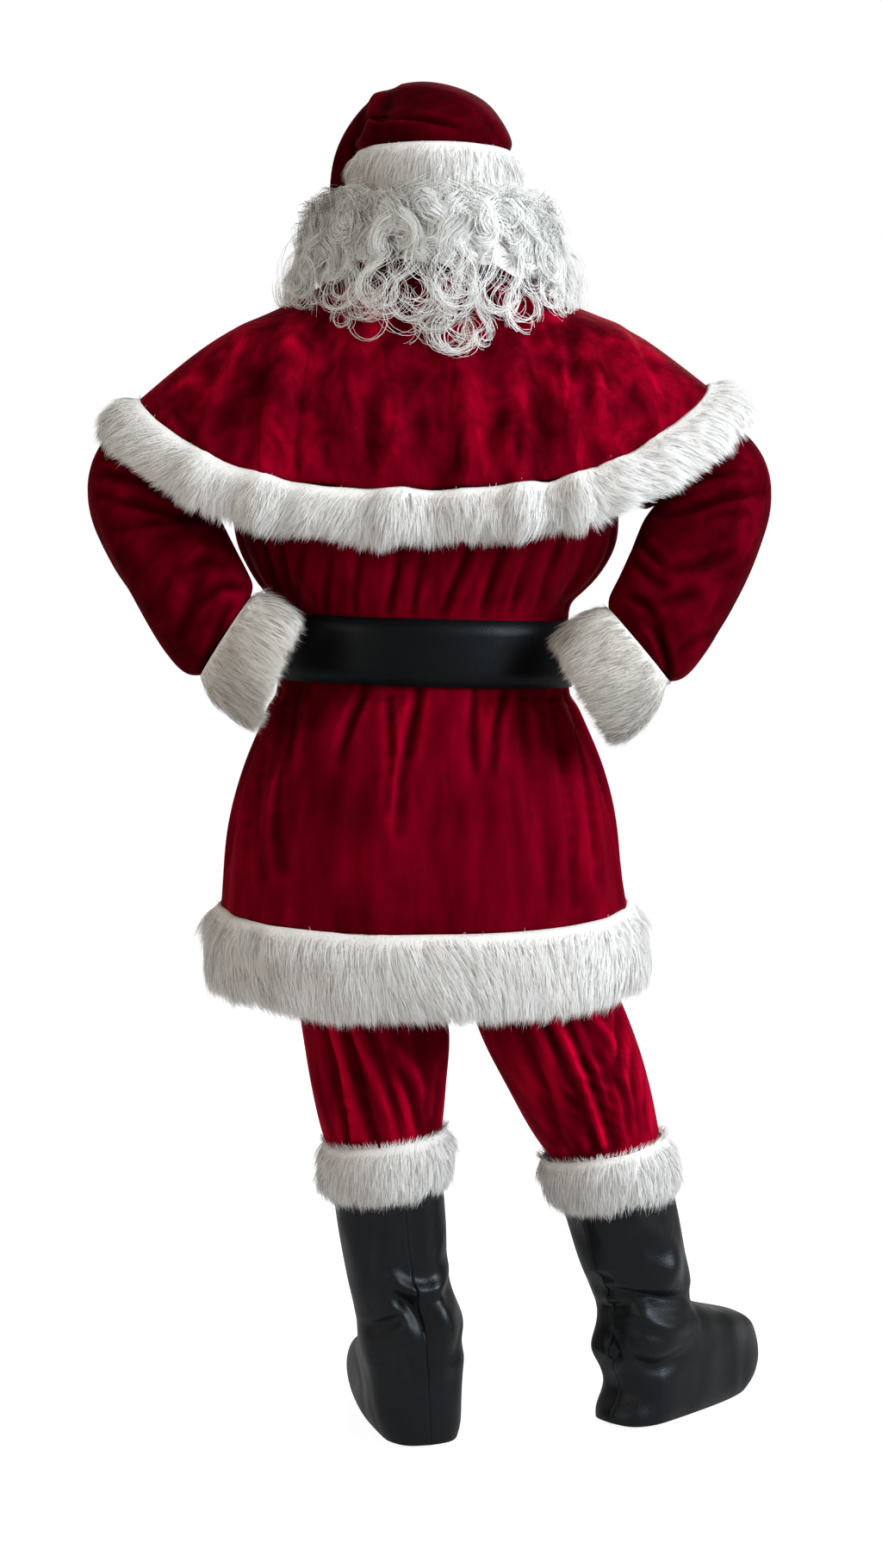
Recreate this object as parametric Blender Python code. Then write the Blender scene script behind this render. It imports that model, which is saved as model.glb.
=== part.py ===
"""A santa suit, worn: hat, wig, shoulder cape, coat, belt, trousers and boot covers.

Metres. +X is the wearer's right, +Y the wearer's front, +Z up. The origin is the middle
of the neck opening, where the suit hangs on its wearer. Azimuths are degrees round a
vertical axis: 0 is the wearer's right, 90 the front, 180 the left and -90 the back.
Each piece is a wall of cloth, leather or fur whose outer face is a grid of points: rows
read from a short table of the piece's sizes, moved out by its folds and then in by its
thickness.
"""

import math
from collections import namedtuple

import bmesh
import bpy
from mathutils import Matrix, Vector

# Driving dimensions.
VELVET = 0.0022
LEATHERETTE = 0.0018
BELT_LEATHER = 0.003
BUCKLE_THICKNESS = 0.004
SEAM = 0.0003
ACROSS = 0
FORWARD = 1

for leftover in list(bpy.data.objects):
    bpy.data.objects.remove(leftover)


# Materials: one per finish.


def material(name, colour, roughness, metallic=0.0):
    """A plain Principled finish."""
    made = bpy.data.materials.new(name)
    made.use_nodes = True
    shader = made.node_tree.nodes["Principled BSDF"]
    shader.inputs["Base Color"].default_value = (*colour, 1.0)
    shader.inputs["Roughness"].default_value = roughness
    shader.inputs["Metallic"].default_value = metallic
    return made


RED_VELVET = material("red_velvet", (0.19, 0.002, 0.013), 0.75)
WHITE_FUR = material("white_fur", (0.78, 0.77, 0.75), 0.95)
WHITE_HAIR = material("white_hair", (0.72, 0.72, 0.70), 0.55)
WIG_NET = material("wig_net", (0.62, 0.60, 0.57), 0.9)
BLACK_LEATHER = material("black_leather", (0.012, 0.012, 0.013), 0.5)
BLACK_LEATHERETTE = material("black_leatherette", (0.012, 0.013, 0.015), 0.38)
BUCKLE_METAL = material("buckle_metal", (0.72, 0.55, 0.25), 0.3, 1.0)


# Curves and tables.


def smooth(value):
    """0 to 1 with level ends."""
    value = min(1.0, max(0.0, value))
    return value * value * (3 - 2 * value)


def slope(before, after):
    """The slope at a row between two slopes: level where they differ in sign."""
    return 0.0 if before * after <= 0 else 2 * before * after / (before + after)


def read(table, at):
    """A table's row at any value of its first column, on a smooth curve through its rows."""
    rows = sorted(table)
    last = len(rows) - 1
    i = max([k for k in range(last) if rows[k][0] <= at], default=0)
    step = rows[i + 1][0] - rows[i][0]
    t = min(1.0, max(0.0, (at - rows[i][0]) / step))

    def rate(k, column):
        return (rows[k + 1][column] - rows[k][column]) / (rows[k + 1][0] - rows[k][0])

    values = [at]
    for column in range(1, len(rows[0])):
        here = rate(i, column)
        start = slope(rate(i - 1, column), here) if i > 0 else here
        end = slope(here, rate(i + 1, column)) if i + 1 < last else here
        low, high = rows[i][column], rows[i + 1][column]
        curve = step * t * (1 - t) * (start * (1 - t) - end * t)
        values.append(low + (high - low) * smooth(t) + curve)
    return type(rows[0])(*values)


def spaced(start, end, count):
    """count + 1 evenly spaced values."""
    return [start + (end - start) * i / count for i in range(count + 1)]


def turns(count):
    """Azimuths all round, the last one before the first."""
    return spaced(-90, 270, count)[:-1]


def power(value, exponent):
    return math.copysign(abs(value) ** exponent, value)


def oval(azimuth, half_width, back, front, square=2.0):
    """A point of a rounded outline, squarer as square grows past 2."""
    turn = math.radians(azimuth)
    across = power(math.cos(turn), 2 / square)
    forward = power(math.sin(turn), 2 / square)
    return half_width * across, (front if forward > 0 else back) * forward


def bearing(azimuth, half_width, back, front, square):
    """The point of a rounded outline that lies in a direction from its middle."""
    turn = math.radians(azimuth)
    across, forward = math.cos(turn), math.sin(turn)
    deep = front if forward > 0 else back
    reach = (abs(across / half_width) ** square + abs(forward / deep) ** square) ** (-1 / square)
    return reach * across, reach * forward


# A fold stands out round an azimuth, from its strong start to its faded end. lean is the
# degrees that it moves round over each metre, or each whole length, of its run.
Fold = namedtuple("Fold", "azimuth width out start end lean")


def folds_at(folds, azimuth, along):
    """How far the folds stand out at a place."""
    total = 0.0
    for fold in folds:
        run = (along - fold.start) / (fold.end - fold.start)
        aside = azimuth - fold.azimuth - fold.lean * (along - fold.start)
        aside = (aside + 180) % 360 - 180
        across = max(0.0, 1 - (aside / fold.width) ** 2) ** 2
        total += fold.out * across * smooth(run / 0.25) * smooth((1 - run) / 0.6)
    return total


# Walls.


def out_of(rows, around):
    """The unit direction out of a grid of points, at each point."""
    made = []
    for i, row in enumerate(rows):
        before, after = rows[max(i - 1, 0)], rows[min(i + 1, len(rows) - 1)]
        count = len(row)
        made.append([])
        for j in range(count):
            left = row[j - 1] if around or j > 0 else row[j]
            right = row[(j + 1) % count] if around or j + 1 < count else row[j]
            made[-1].append((right - left).cross(after[j] - before[j]).normalized())
    facing = 0.0
    for row, directions in zip(rows, made):
        middle = sum(row, Vector()) / len(row)
        facing += sum((p - middle).dot(d) for p, d in zip(row, directions))
    sign = math.copysign(1.0, facing)
    return [[direction * sign for direction in row] for row in made]


def moved_out(rows, distances, around):
    """The grid with each row moved out of its face by its own distance."""
    return [
        [p + d * distance for p, d in zip(row, directions)]
        for row, directions, distance in zip(rows, out_of(rows, around), distances)
    ]


def add(name, bm, finish):
    """The bmesh as an object of its own with one finish."""
    bmesh.ops.recalc_face_normals(bm, faces=bm.faces)
    mesh = bpy.data.meshes.new(name)
    bm.to_mesh(mesh)
    bm.free()
    mesh.materials.append(finish)
    mesh.shade_smooth()
    mesh.set_sharp_from_angle(angle=math.radians(55))
    made = bpy.data.objects.new(name, mesh)
    bpy.context.scene.collection.objects.link(made)
    return made


def wall(name, outer, inner, finish, around=False, beyond=(), place=None):
    """A closed wall between two grids of points, rimmed along its open edges.

    beyond holds (axis, sign) pairs: the wall stays half a seam beyond that axis's middle.
    place moves each point to where the piece is worn.
    """
    for row in [*outer, *inner]:
        for point in row:
            for axis, sign in beyond:
                point[axis] = sign * max(SEAM / 2, sign * point[axis])
    place = place or Vector
    bm = bmesh.new()
    grids = [[[bm.verts.new(place(p)) for p in row] for row in grid] for grid in (outer, inner)]
    rows, columns = len(outer), len(outer[0])
    pairs = [(j, (j + 1) % columns) for j in range(columns if around else columns - 1)]
    for grid in grids:
        for i in range(rows - 1):
            for j, k in pairs:
                bm.faces.new((grid[i][j], grid[i][k], grid[i + 1][k], grid[i + 1][j]))
    face, lining = grids
    for i in (0, rows - 1):
        for j, k in pairs:
            bm.faces.new((face[i][j], face[i][k], lining[i][k], lining[i][j]))
    if not around:
        for j in (0, columns - 1):
            for i in range(rows - 1):
                bm.faces.new((face[i][j], face[i + 1][j], lining[i + 1][j], lining[i][j]))
    return add(name, bm, finish)


def cloth(name, rows, thickness, finish, around=False, beyond=(), place=None, flat_ends=False):
    """A sheet whose outer face is the grid. A flat end is rimmed within its ring's plane."""
    inner = moved_out(rows, [-thickness] * len(rows), around)
    if flat_ends:
        for i in (0, -1):
            middle = sum(rows[i], Vector()) / len(rows[i])
            inner[i] = [p + (middle - p).normalized() * thickness for p in rows[i]]
    return wall(name, rows, inner, finish, around, beyond, place)


# A band's outer and inner face, each measured out from the grid that it follows, at a
# level: a distance past the edge that it is sewn to, or a height, or a share of a length.
Pile = namedtuple("Pile", "level outer inner")


def band(name, rows, piles, finish, around=True, beyond=(), place=None):
    """A band of fur or leather that follows a grid, one row for each Pile."""
    outer = moved_out(rows, [pile.outer for pile in piles], around)
    inner = moved_out(rows, [pile.inner for pile in piles], around)
    return wall(name, outer, inner, finish, around, beyond, place)


def past_edge(rows, piles):
    """A grid that carries on past the last row of another, to each Pile's level."""
    ends = list(zip(rows[-2], rows[-1]))
    return [
        [edge + (edge - before).normalized() * (SEAM + pile.level) for before, edge in ends]
        for pile in piles
    ]


# The coat: a back with a seam under the belt, two fronts that meet down the middle, and a fur
# hem band.

CoatRow = namedtuple("CoatRow", "height middle half_width back front square")
COAT = (
    CoatRow(-0.818, 0.002, 0.268, 0.203, 0.212, 2.3),
    CoatRow(-0.767, 0.000, 0.259, 0.196, 0.210, 2.3),
    CoatRow(-0.710, 0.000, 0.250, 0.187, 0.205, 2.3),
    CoatRow(-0.652, 0.001, 0.235, 0.173, 0.197, 2.3),
    CoatRow(-0.594, 0.001, 0.215, 0.155, 0.185, 2.2),
    CoatRow(-0.556, 0.000, 0.204, 0.145, 0.176, 2.1),
    CoatRow(-0.536, 0.000, 0.1935, 0.136, 0.168, 2.0),
    CoatRow(-0.431, 0.000, 0.1935, 0.136, 0.168, 2.0),
    CoatRow(-0.410, 0.001, 0.209, 0.145, 0.170, 2.0),
    CoatRow(-0.383, 0.004, 0.231, 0.152, 0.168, 2.1),
    CoatRow(-0.332, 0.005, 0.253, 0.158, 0.166, 2.2),
    CoatRow(-0.275, 0.000, 0.256, 0.160, 0.160, 2.4),
)
COAT_FOLDS = (
    # From the belt down the skirt: round the back, then the front.
    Fold(-176, 10, 0.010, 0.535, 0.90, 10),
    Fold(-158, 9, 0.014, 0.535, 0.88, 14),
    Fold(-141, 9, 0.015, 0.535, 0.84, 12),
    Fold(-122, 9, 0.013, 0.535, 0.80, -4),
    Fold(-107, 8, 0.015, 0.535, 0.84, -10),
    Fold(-94, 7, 0.016, 0.535, 0.88, -18),
    Fold(-81, 7, 0.008, 0.535, 0.72, 0),
    Fold(-66, 8, 0.013, 0.535, 0.78, -6),
    Fold(-47, 9, 0.012, 0.535, 0.80, -10),
    Fold(-28, 9, 0.014, 0.535, 0.86, -12),
    Fold(-9, 10, 0.010, 0.535, 0.90, -10),
    Fold(18, 11, 0.011, 0.535, 0.90, -8),
    Fold(42, 10, 0.009, 0.535, 0.84, 6),
    Fold(66, 9, 0.011, 0.535, 0.86, 8),
    Fold(114, 9, 0.010, 0.535, 0.84, -8),
    Fold(137, 10, 0.012, 0.535, 0.90, -6),
    Fold(161, 11, 0.009, 0.535, 0.88, 8),
    # From the belt up the body: round the back, then the front.
    Fold(-152, 8, 0.011, 0.43, 0.29, -40),
    Fold(-133, 7, 0.010, 0.43, 0.28, -60),
    Fold(-114, 7, 0.009, 0.43, 0.27, -40),
    Fold(-97, 7, 0.008, 0.43, 0.27, -20),
    Fold(-79, 7, 0.010, 0.43, 0.27, 30),
    Fold(-62, 7, 0.010, 0.43, 0.27, 40),
    Fold(-43, 7, 0.009, 0.43, 0.28, 60),
    Fold(-24, 8, 0.010, 0.43, 0.29, 40),
    Fold(30, 9, 0.009, 0.43, 0.29, -20),
    Fold(58, 8, 0.008, 0.43, 0.28, -20),
    Fold(122, 8, 0.008, 0.43, 0.28, 20),
    Fold(150, 9, 0.009, 0.43, 0.29, 20),
)
COAT_HEIGHTS = (
    -0.818, -0.772, -0.722, -0.672, -0.624, -0.584, -0.556,
    -0.536, -0.431, -0.410, -0.380, -0.345, -0.310, -0.275,
)
WAIST_SEAM = -0.4835
YOKE_STEPS = 4
BACK_COLUMNS = 26
FRONT_COLUMNS = 10
HEM_DIP = 0.020
UNDERARM = -0.275
SHOULDER_TIP = -0.070
ARMHOLE_MIDDLE = (UNDERARM + SHOULDER_TIP) / 2
ARMHOLE_HALF = (SHOULDER_TIP - UNDERARM) / 2
ARMHOLE_BACK = 0.090
ARMHOLE_FRONT = 0.086
ARMHOLE_OUT = 0.256
ARMHOLE_LEAN = 0.34
NECK_ACROSS = 0.084
NECK_SIDE = -0.014
Yoke = namedtuple("Yoke", "sign armhole body neck collar")
BACK_YOKE = Yoke(-1, ARMHOLE_BACK, 0.160, 0.080, 0.000)
FRONT_YOKE = Yoke(1, ARMHOLE_FRONT, 0.160, 0.080, -0.035)
HEM_COLUMNS = 48
HEM_BAND = (
    Pile(0.000, 0.008, -0.004),
    Pile(0.022, 0.018, -0.004),
    Pile(0.060, 0.021, -0.004),
    Pile(0.090, 0.017, -0.004),
    Pile(0.107, 0.004, -0.001),
)


def coat_point(azimuth, height):
    """A point of the coat's outer face below the underarms."""
    row = read(COAT, height)
    across, forward = oval(azimuth, row.half_width, row.back, row.front, row.square)
    out = Vector((across, forward, 0.0)).normalized()
    dip = HEM_DIP * smooth((-0.70 - height) / 0.12) * abs(math.sin(math.radians(azimuth)))
    place = Vector((row.middle + across, forward, height - dip))
    return place + out * folds_at(COAT_FOLDS, azimuth, -height)


def armhole_x(height):
    """How far out the flat armhole lies at a height."""
    return ARMHOLE_OUT - ARMHOLE_LEAN * (height - UNDERARM)


def yoke_point(yoke, share, across):
    """A point above the underarms: share runs up to the shoulder seam, across from -1 to 1."""
    turn = math.pi * share
    edge_height = ARMHOLE_MIDDLE - ARMHOLE_HALF * math.cos(turn)
    x = across * armhole_x(edge_height)
    dome = 1 - abs(across) ** 2.4
    edge_depth = yoke.armhole * math.sin(turn)
    depth = yoke.body + (yoke.neck - yoke.body) * smooth(share)
    low = (edge_depth + (depth - edge_depth) * dome, edge_height + 0.07 * dome * math.sin(turn))
    in_neck = math.sqrt(max(0.0, 1 - (x / NECK_ACROSS) ** 2))
    shoulder_run = (armhole_x(SHOULDER_TIP) - abs(x)) / (armhole_x(SHOULDER_TIP) - NECK_ACROSS)
    shoulder = SHOULDER_TIP + (NECK_SIDE - SHOULDER_TIP) * min(1.0, shoulder_run)
    top = (yoke.neck * in_neck, shoulder + (yoke.collar - NECK_SIDE) * in_neck**2)
    late = share**2
    depth, height = [a + (b - a) * late for a, b in zip(low, top)]
    return Vector((x, yoke.sign * depth, height))


def coat_skirt(name, azimuths, beyond):
    """One panel from the hem to a seam under the belt."""
    heights = [height for height in COAT_HEIGHTS if height < WAIST_SEAM] + [WAIST_SEAM - SEAM]
    rows = [[coat_point(azimuth, height) for azimuth in azimuths] for height in heights]
    cloth(name, rows, VELVET, RED_VELVET, beyond=beyond)


def coat_panel(name, azimuths, yoke, beyond, heights=COAT_HEIGHTS):
    """One panel up to the shoulder seam, from the hem or the given heights."""
    rows = [[coat_point(azimuth, height) for azimuth in azimuths] for height in heights]
    square = read(COAT, UNDERARM).square
    across = [power(math.cos(math.radians(a)), 2 / square) for a in azimuths]
    for share in spaced(0, 1, YOKE_STEPS)[1:]:
        rows.append([yoke_point(yoke, share, a) for a in across])
    cloth(name, rows, VELVET, RED_VELVET, beyond=beyond)


def make_coat():
    """A back in two parts, two fronts, and the fur band sewn to their hem, split down the front."""
    behind = spaced(-180, 0, BACK_COLUMNS)
    above = [WAIST_SEAM] + [height for height in COAT_HEIGHTS if height > WAIST_SEAM]
    coat_skirt("coat_back_skirt", behind, [(FORWARD, -1)])
    coat_panel("coat_back", behind, BACK_YOKE, [(FORWARD, -1)], above)
    coat_panel(
        "coat_front_right", spaced(0, 90, FRONT_COLUMNS), FRONT_YOKE, [(FORWARD, 1), (ACROSS, 1)]
    )
    coat_panel(
        "coat_front_left", spaced(90, 180, FRONT_COLUMNS), FRONT_YOKE, [(FORWARD, 1), (ACROSS, -1)]
    )
    gap = math.degrees(SEAM / COAT[0].half_width)
    azimuths = spaced(90 + gap, 450 - gap, HEM_COLUMNS)
    edge = [[coat_point(azimuth, height) for azimuth in azimuths] for height in COAT_HEIGHTS[1::-1]]
    band("coat_hem_trim", past_edge(edge, HEM_BAND), HEM_BAND, WHITE_FUR, around=False)


# The sleeves hang from the armholes, bent at the elbow, with the wrists on the hips.

SleeveRow = namedtuple("SleeveRow", "share out forward height tilt across deep")
SLEEVES = {
    "left": (
        SleeveRow(0.00, 0.222, 0.000, -0.172, -19, 0.108, 0.090),
        SleeveRow(0.14, 0.281, -0.016, -0.212, 6, 0.080, 0.080),
        SleeveRow(0.30, 0.334, -0.040, -0.240, 40, 0.078, 0.074),
        SleeveRow(0.46, 0.356, -0.066, -0.276, 80, 0.081, 0.070),
        SleeveRow(0.62, 0.333, -0.092, -0.334, 110, 0.075, 0.068),
        SleeveRow(0.76, 0.304, -0.112, -0.384, 122, 0.073, 0.064),
        SleeveRow(0.90, 0.272, -0.126, -0.440, 132, 0.073, 0.058),
        SleeveRow(0.96, 0.260, -0.130, -0.455, 142, 0.070, 0.055),
        SleeveRow(1.00, 0.252, -0.132, -0.462, 147, 0.060, 0.048),
        SleeveRow(1.33, 0.184, -0.148, -0.511, 157, 0.070, 0.046),
    ),
    "right": (
        SleeveRow(0.00, 0.222, 0.000, -0.172, -19, 0.108, 0.090),
        SleeveRow(0.14, 0.283, -0.016, -0.212, 6, 0.080, 0.080),
        SleeveRow(0.30, 0.342, -0.040, -0.240, 40, 0.078, 0.074),
        SleeveRow(0.46, 0.374, -0.066, -0.277, 76, 0.081, 0.070),
        SleeveRow(0.62, 0.358, -0.092, -0.334, 103, 0.076, 0.068),
        SleeveRow(0.76, 0.335, -0.112, -0.386, 116, 0.075, 0.064),
        SleeveRow(0.90, 0.303, -0.126, -0.444, 126, 0.072, 0.058),
        SleeveRow(0.96, 0.288, -0.130, -0.464, 136, 0.071, 0.055),
        SleeveRow(1.00, 0.278, -0.132, -0.473, 140, 0.062, 0.048),
        SleeveRow(1.33, 0.205, -0.146, -0.538, 149, 0.073, 0.046),
    ),
}
SLEEVE_FOLDS = (
    Fold(80, 30, 0.009, 0.30, 0.62, 40),
    Fold(180, 34, -0.010, 0.36, 0.60, 0),
    Fold(-60, 28, 0.008, 0.40, 0.80, 60),
    Fold(10, 26, 0.007, 0.535, 0.92, 90),
    Fold(-130, 28, 0.008, 0.60, 0.98, -60),
    Fold(120, 26, 0.007, 0.66, 0.98, 40),
)
SLEEVE_SHARES = (0.0, 0.14, 0.28, 0.40, 0.51, 0.62, 0.74, 0.86, 0.95, 1.0)
SLEEVE_COLUMNS = 14
SLEEVE_GAP = 0.0013
CUFF_COLUMNS = 16
CUFF_BAND = (
    Pile(1.008, 0.006, -0.006),
    Pile(1.07, 0.015, -0.007),
    Pile(1.18, 0.018, -0.007),
    Pile(1.28, 0.013, -0.006),
    Pile(1.33, 0.002, -0.003),
)


def sleeve_point(side, share, azimuth):
    """A point of the sleeve, the azimuth going round it: 0 is the outer side, 90 the front."""
    rows = SLEEVES[side]
    sign = -1 if side == "left" else 1
    turn = math.radians(azimuth)
    if share == 0.0:
        deep = ARMHOLE_FRONT if math.sin(turn) > 0 else ARMHOLE_BACK
        height = ARMHOLE_MIDDLE + ARMHOLE_HALF * math.cos(turn)
        return Vector((sign * (armhole_x(height) + SLEEVE_GAP), deep * math.sin(turn), height))
    row = read(rows, share)
    tilt = math.radians(row.tilt)
    swell = folds_at(SLEEVE_FOLDS, azimuth, share)
    aside = (row.across + swell) * math.cos(turn)
    return Vector(
        (
            sign * (row.out + aside * math.sin(tilt)),
            row.forward + (row.deep + swell) * math.sin(turn),
            row.height + aside * math.cos(tilt),
        )
    )


def make_sleeve(side):
    """A sleeve from the armhole to the wrist, and its fur cuff."""
    rows = [
        [sleeve_point(side, share, azimuth) for azimuth in turns(SLEEVE_COLUMNS)]
        for share in SLEEVE_SHARES
    ]
    cloth("sleeve_" + side, rows, VELVET, RED_VELVET, around=True, flat_ends=True)
    rows = [
        [sleeve_point(side, pile.level, azimuth) for azimuth in turns(CUFF_COLUMNS)]
        for pile in CUFF_BAND
    ]
    band("cuff_" + side, rows, CUFF_BAND, WHITE_FUR)


# The belt: one strap whose free end laps over its other end behind the buckle.

BELT_TOP = -0.440
BELT_BOTTOM = -0.527
BELT_TILT = -0.03
BELT_CLEAR = 0.0014
BELT_COLUMNS = 40
BELT_START = 78.0
BELT_LAP = 30.0
BUCKLE_HALF_WIDTH = 0.056
BUCKLE_HALF_HEIGHT = 0.055
BUCKLE_BAR = 0.014
BUCKLE_CORNER = 0.010
BUCKLE_OUT = 0.0120
PRONG_HALF_HEIGHT = 0.004
PRONG_THICKNESS = 0.0035


def belt_point(azimuth, height, out):
    """A point over the waist: the azimuth may pass 360 where the strap laps over itself."""
    row = read(COAT, (BELT_TOP + BELT_BOTTOM) / 2)
    lap = (BELT_LEATHER + 2 * SEAM) * smooth((azimuth - BELT_START - 330) / 28)
    out = out + lap
    x, y = oval(azimuth, row.half_width + out, row.back + out, row.front + out)
    return Vector((x, y, height + BELT_TILT * x))


def belt_front(across, height, out):
    """A point over the front of the belt, by its distance from the middle."""
    row = read(COAT, (BELT_TOP + BELT_BOTTOM) / 2)
    azimuth = math.degrees(math.acos(across / (row.half_width + out)))
    return belt_point(azimuth, height, out)


def rounded_frame(half_width, half_height, corner):
    """The points of a rounded rectangle, three to a corner."""
    points = []
    for sx, sy, start in ((1, 1, 0), (-1, 1, 90), (-1, -1, 180), (1, -1, 270)):
        for turn in spaced(start, start + 90, 2):
            x = sx * (half_width - corner) + corner * math.cos(math.radians(turn))
            y = sy * (half_height - corner) + corner * math.sin(math.radians(turn))
            points.append((x, y))
    return points


def make_belt():
    """Strap, buckle frame and prong."""
    azimuths = spaced(BELT_START, BELT_START + 360 + BELT_LAP, BELT_COLUMNS)
    faces = [
        [[belt_point(a, height, out) for a in azimuths] for height in (BELT_TOP, BELT_BOTTOM)]
        for out in (BELT_CLEAR + BELT_LEATHER, BELT_CLEAR)
    ]
    wall("belt_strap", *faces, BLACK_LEATHER)

    middle = (BELT_TOP + BELT_BOTTOM) / 2
    loops = [
        rounded_frame(BUCKLE_HALF_WIDTH - inset, BUCKLE_HALF_HEIGHT - inset, BUCKLE_CORNER)
        for inset in (0.0, BUCKLE_BAR / 2, BUCKLE_BAR)
    ]
    crown = (0.0, BUCKLE_THICKNESS / 3, 0.0)
    front = [
        [belt_front(x, middle + z, BUCKLE_OUT + BUCKLE_THICKNESS + more) for x, z in loop]
        for loop, more in zip(loops, crown)
    ]
    back = [[belt_front(x, middle + z, BUCKLE_OUT) for x, z in loop] for loop in loops]
    wall("belt_buckle", front, back, BUCKLE_METAL, around=True)

    reach = BUCKLE_HALF_WIDTH - BUCKLE_BAR - 2 * SEAM
    across = spaced(-reach, reach, 6)
    faces = [
        [
            [belt_front(x, middle + side * PRONG_HALF_HEIGHT, out) for x in across]
            for side in (1, -1)
        ]
        for out in (BUCKLE_OUT + PRONG_THICKNESS, BUCKLE_OUT)
    ]
    wall("belt_prong", *faces, BUCKLE_METAL)


# The shoulder cape, open down the front, gathered at the neck and spread over the arms.

CapeRow = namedtuple("CapeRow", "share half_width back front side_height back_height front_height")
CAPE = (
    CapeRow(0.00, 0.090, 0.086, 0.092, 0.022, 0.024, 0.004),
    CapeRow(0.20, 0.148, 0.127, 0.128, -0.016, -0.032, -0.040),
    CapeRow(0.40, 0.212, 0.156, 0.154, -0.046, -0.092, -0.098),
    CapeRow(0.60, 0.270, 0.174, 0.168, -0.075, -0.154, -0.155),
    CapeRow(0.80, 0.324, 0.184, 0.176, -0.115, -0.217, -0.212),
    CapeRow(1.00, 0.370, 0.190, 0.182, -0.154, -0.276, -0.268),
)
CAPE_MIDDLE = 0.002
CAPE_SQUARE = 3.0
CAPE_RIGHT_RISE = 0.016
CAPE_FOLDS = (
    Fold(-160, 9, 0.006, 0.35, 1.7, -6),
    Fold(-139, 8, 0.008, 0.30, 1.8, -4),
    Fold(-121, 8, 0.009, 0.35, 1.8, -3),
    Fold(-97, 7, 0.008, 0.40, 1.8, 0),
    Fold(-79, 7, 0.008, 0.40, 1.8, 2),
    Fold(-66, 6, 0.006, 0.45, 1.8, 2),
    Fold(-55, 6, 0.007, 0.40, 1.8, 4),
    Fold(-37, 7, 0.009, 0.35, 1.8, 5),
    Fold(-20, 8, 0.006, 0.35, 1.7, 6),
    Fold(30, 10, 0.008, 0.35, 1.8, 0),
    Fold(58, 9, 0.009, 0.35, 1.8, 0),
    Fold(122, 9, 0.009, 0.35, 1.8, 0),
    Fold(148, 10, 0.008, 0.35, 1.8, 0),
)
CAPE_STEPS = 5
CAPE_COLUMNS = 50
CAPE_GAP_NECK = 2.0
CAPE_GAP_HEM = 5.0
CAPE_BAND = (
    Pile(0.000, 0.007, -0.004),
    Pile(0.016, 0.016, -0.004),
    Pile(0.042, 0.019, -0.004),
    Pile(0.068, 0.004, -0.001),
)


def cape_point(share, along):
    """A point of the cape, along running from 0 to 1 right round from the front opening."""
    row = read(CAPE, share)
    gap = CAPE_GAP_NECK + (CAPE_GAP_HEM - CAPE_GAP_NECK) * share
    azimuth = 90 + gap + (360 - 2 * gap) * along
    x, y = bearing(azimuth, row.half_width, row.back, row.front, 2 + (CAPE_SQUARE - 2) * share)
    rise = abs(y / (row.front if y > 0 else row.back)) ** (1 + 1.7 * share)
    middle_height = row.front_height if y > 0 else row.back_height
    height = row.side_height + (middle_height - row.side_height) * rise
    height += CAPE_RIGHT_RISE * share * max(0.0, x / row.half_width) * (1 - rise / 2)
    swell = folds_at(CAPE_FOLDS, (azimuth + 180) % 360 - 180, share)
    out = Vector((x, y, 0.3 * row.half_width)).normalized() * swell
    return Vector((CAPE_MIDDLE + x, y, height)) + out


def make_cape():
    """The cape and the fur band that edges it."""
    along = spaced(0, 1, CAPE_COLUMNS)
    rows = [[cape_point(share, a) for a in along] for share in spaced(0, 1, CAPE_STEPS)]
    cloth("cape", rows, VELVET, RED_VELVET)
    band("cape_trim", past_edge(rows, CAPE_BAND), CAPE_BAND, WHITE_FUR, around=False)


# The trousers: one sheet for each leg, sewn down its inseam, and a waistband.

HipRow = namedtuple("HipRow", "height half_width back front")
HIPS = (
    HipRow(-0.450, 0.172, 0.118, 0.148),
    HipRow(-0.560, 0.182, 0.126, 0.156),
    HipRow(-0.660, 0.200, 0.142, 0.160),
    HipRow(-0.760, 0.206, 0.144, 0.152),
    HipRow(-0.880, 0.200, 0.120, 0.125),
)
LegRow = namedtuple("LegRow", "height out forward across deep")
LEGS = {
    "left": (
        LegRow(-0.780, 0.103, 0.004, 0.100, 0.128),
        LegRow(-0.860, 0.094, 0.002, 0.092, 0.106),
        LegRow(-0.930, 0.076, 0.000, 0.097, 0.101),
        LegRow(-0.985, 0.0655, -0.003, 0.0985, 0.100),
        LegRow(-1.060, 0.060, -0.012, 0.091, 0.093),
        LegRow(-1.122, 0.056, -0.019, 0.0815, 0.082),
        LegRow(-1.143, 0.0545, -0.020, 0.076, 0.077),
        LegRow(-1.158, 0.0525, -0.021, 0.067, 0.068),
        LegRow(-1.215, 0.052, -0.020, 0.064, 0.065),
    ),
    "right": (
        LegRow(-0.780, 0.104, 0.004, 0.100, 0.128),
        LegRow(-0.860, 0.126, 0.006, 0.098, 0.108),
        LegRow(-0.930, 0.154, 0.011, 0.101, 0.104),
        LegRow(-0.994, 0.1785, 0.018, 0.103, 0.103),
        LegRow(-1.080, 0.212, 0.031, 0.097, 0.097),
        LegRow(-1.150, 0.237, 0.043, 0.084, 0.085),
        LegRow(-1.173, 0.2465, 0.047, 0.077, 0.078),
        LegRow(-1.188, 0.2525, 0.050, 0.066, 0.067),
        LegRow(-1.245, 0.2675, 0.055, 0.064, 0.065),
    ),
}
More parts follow.
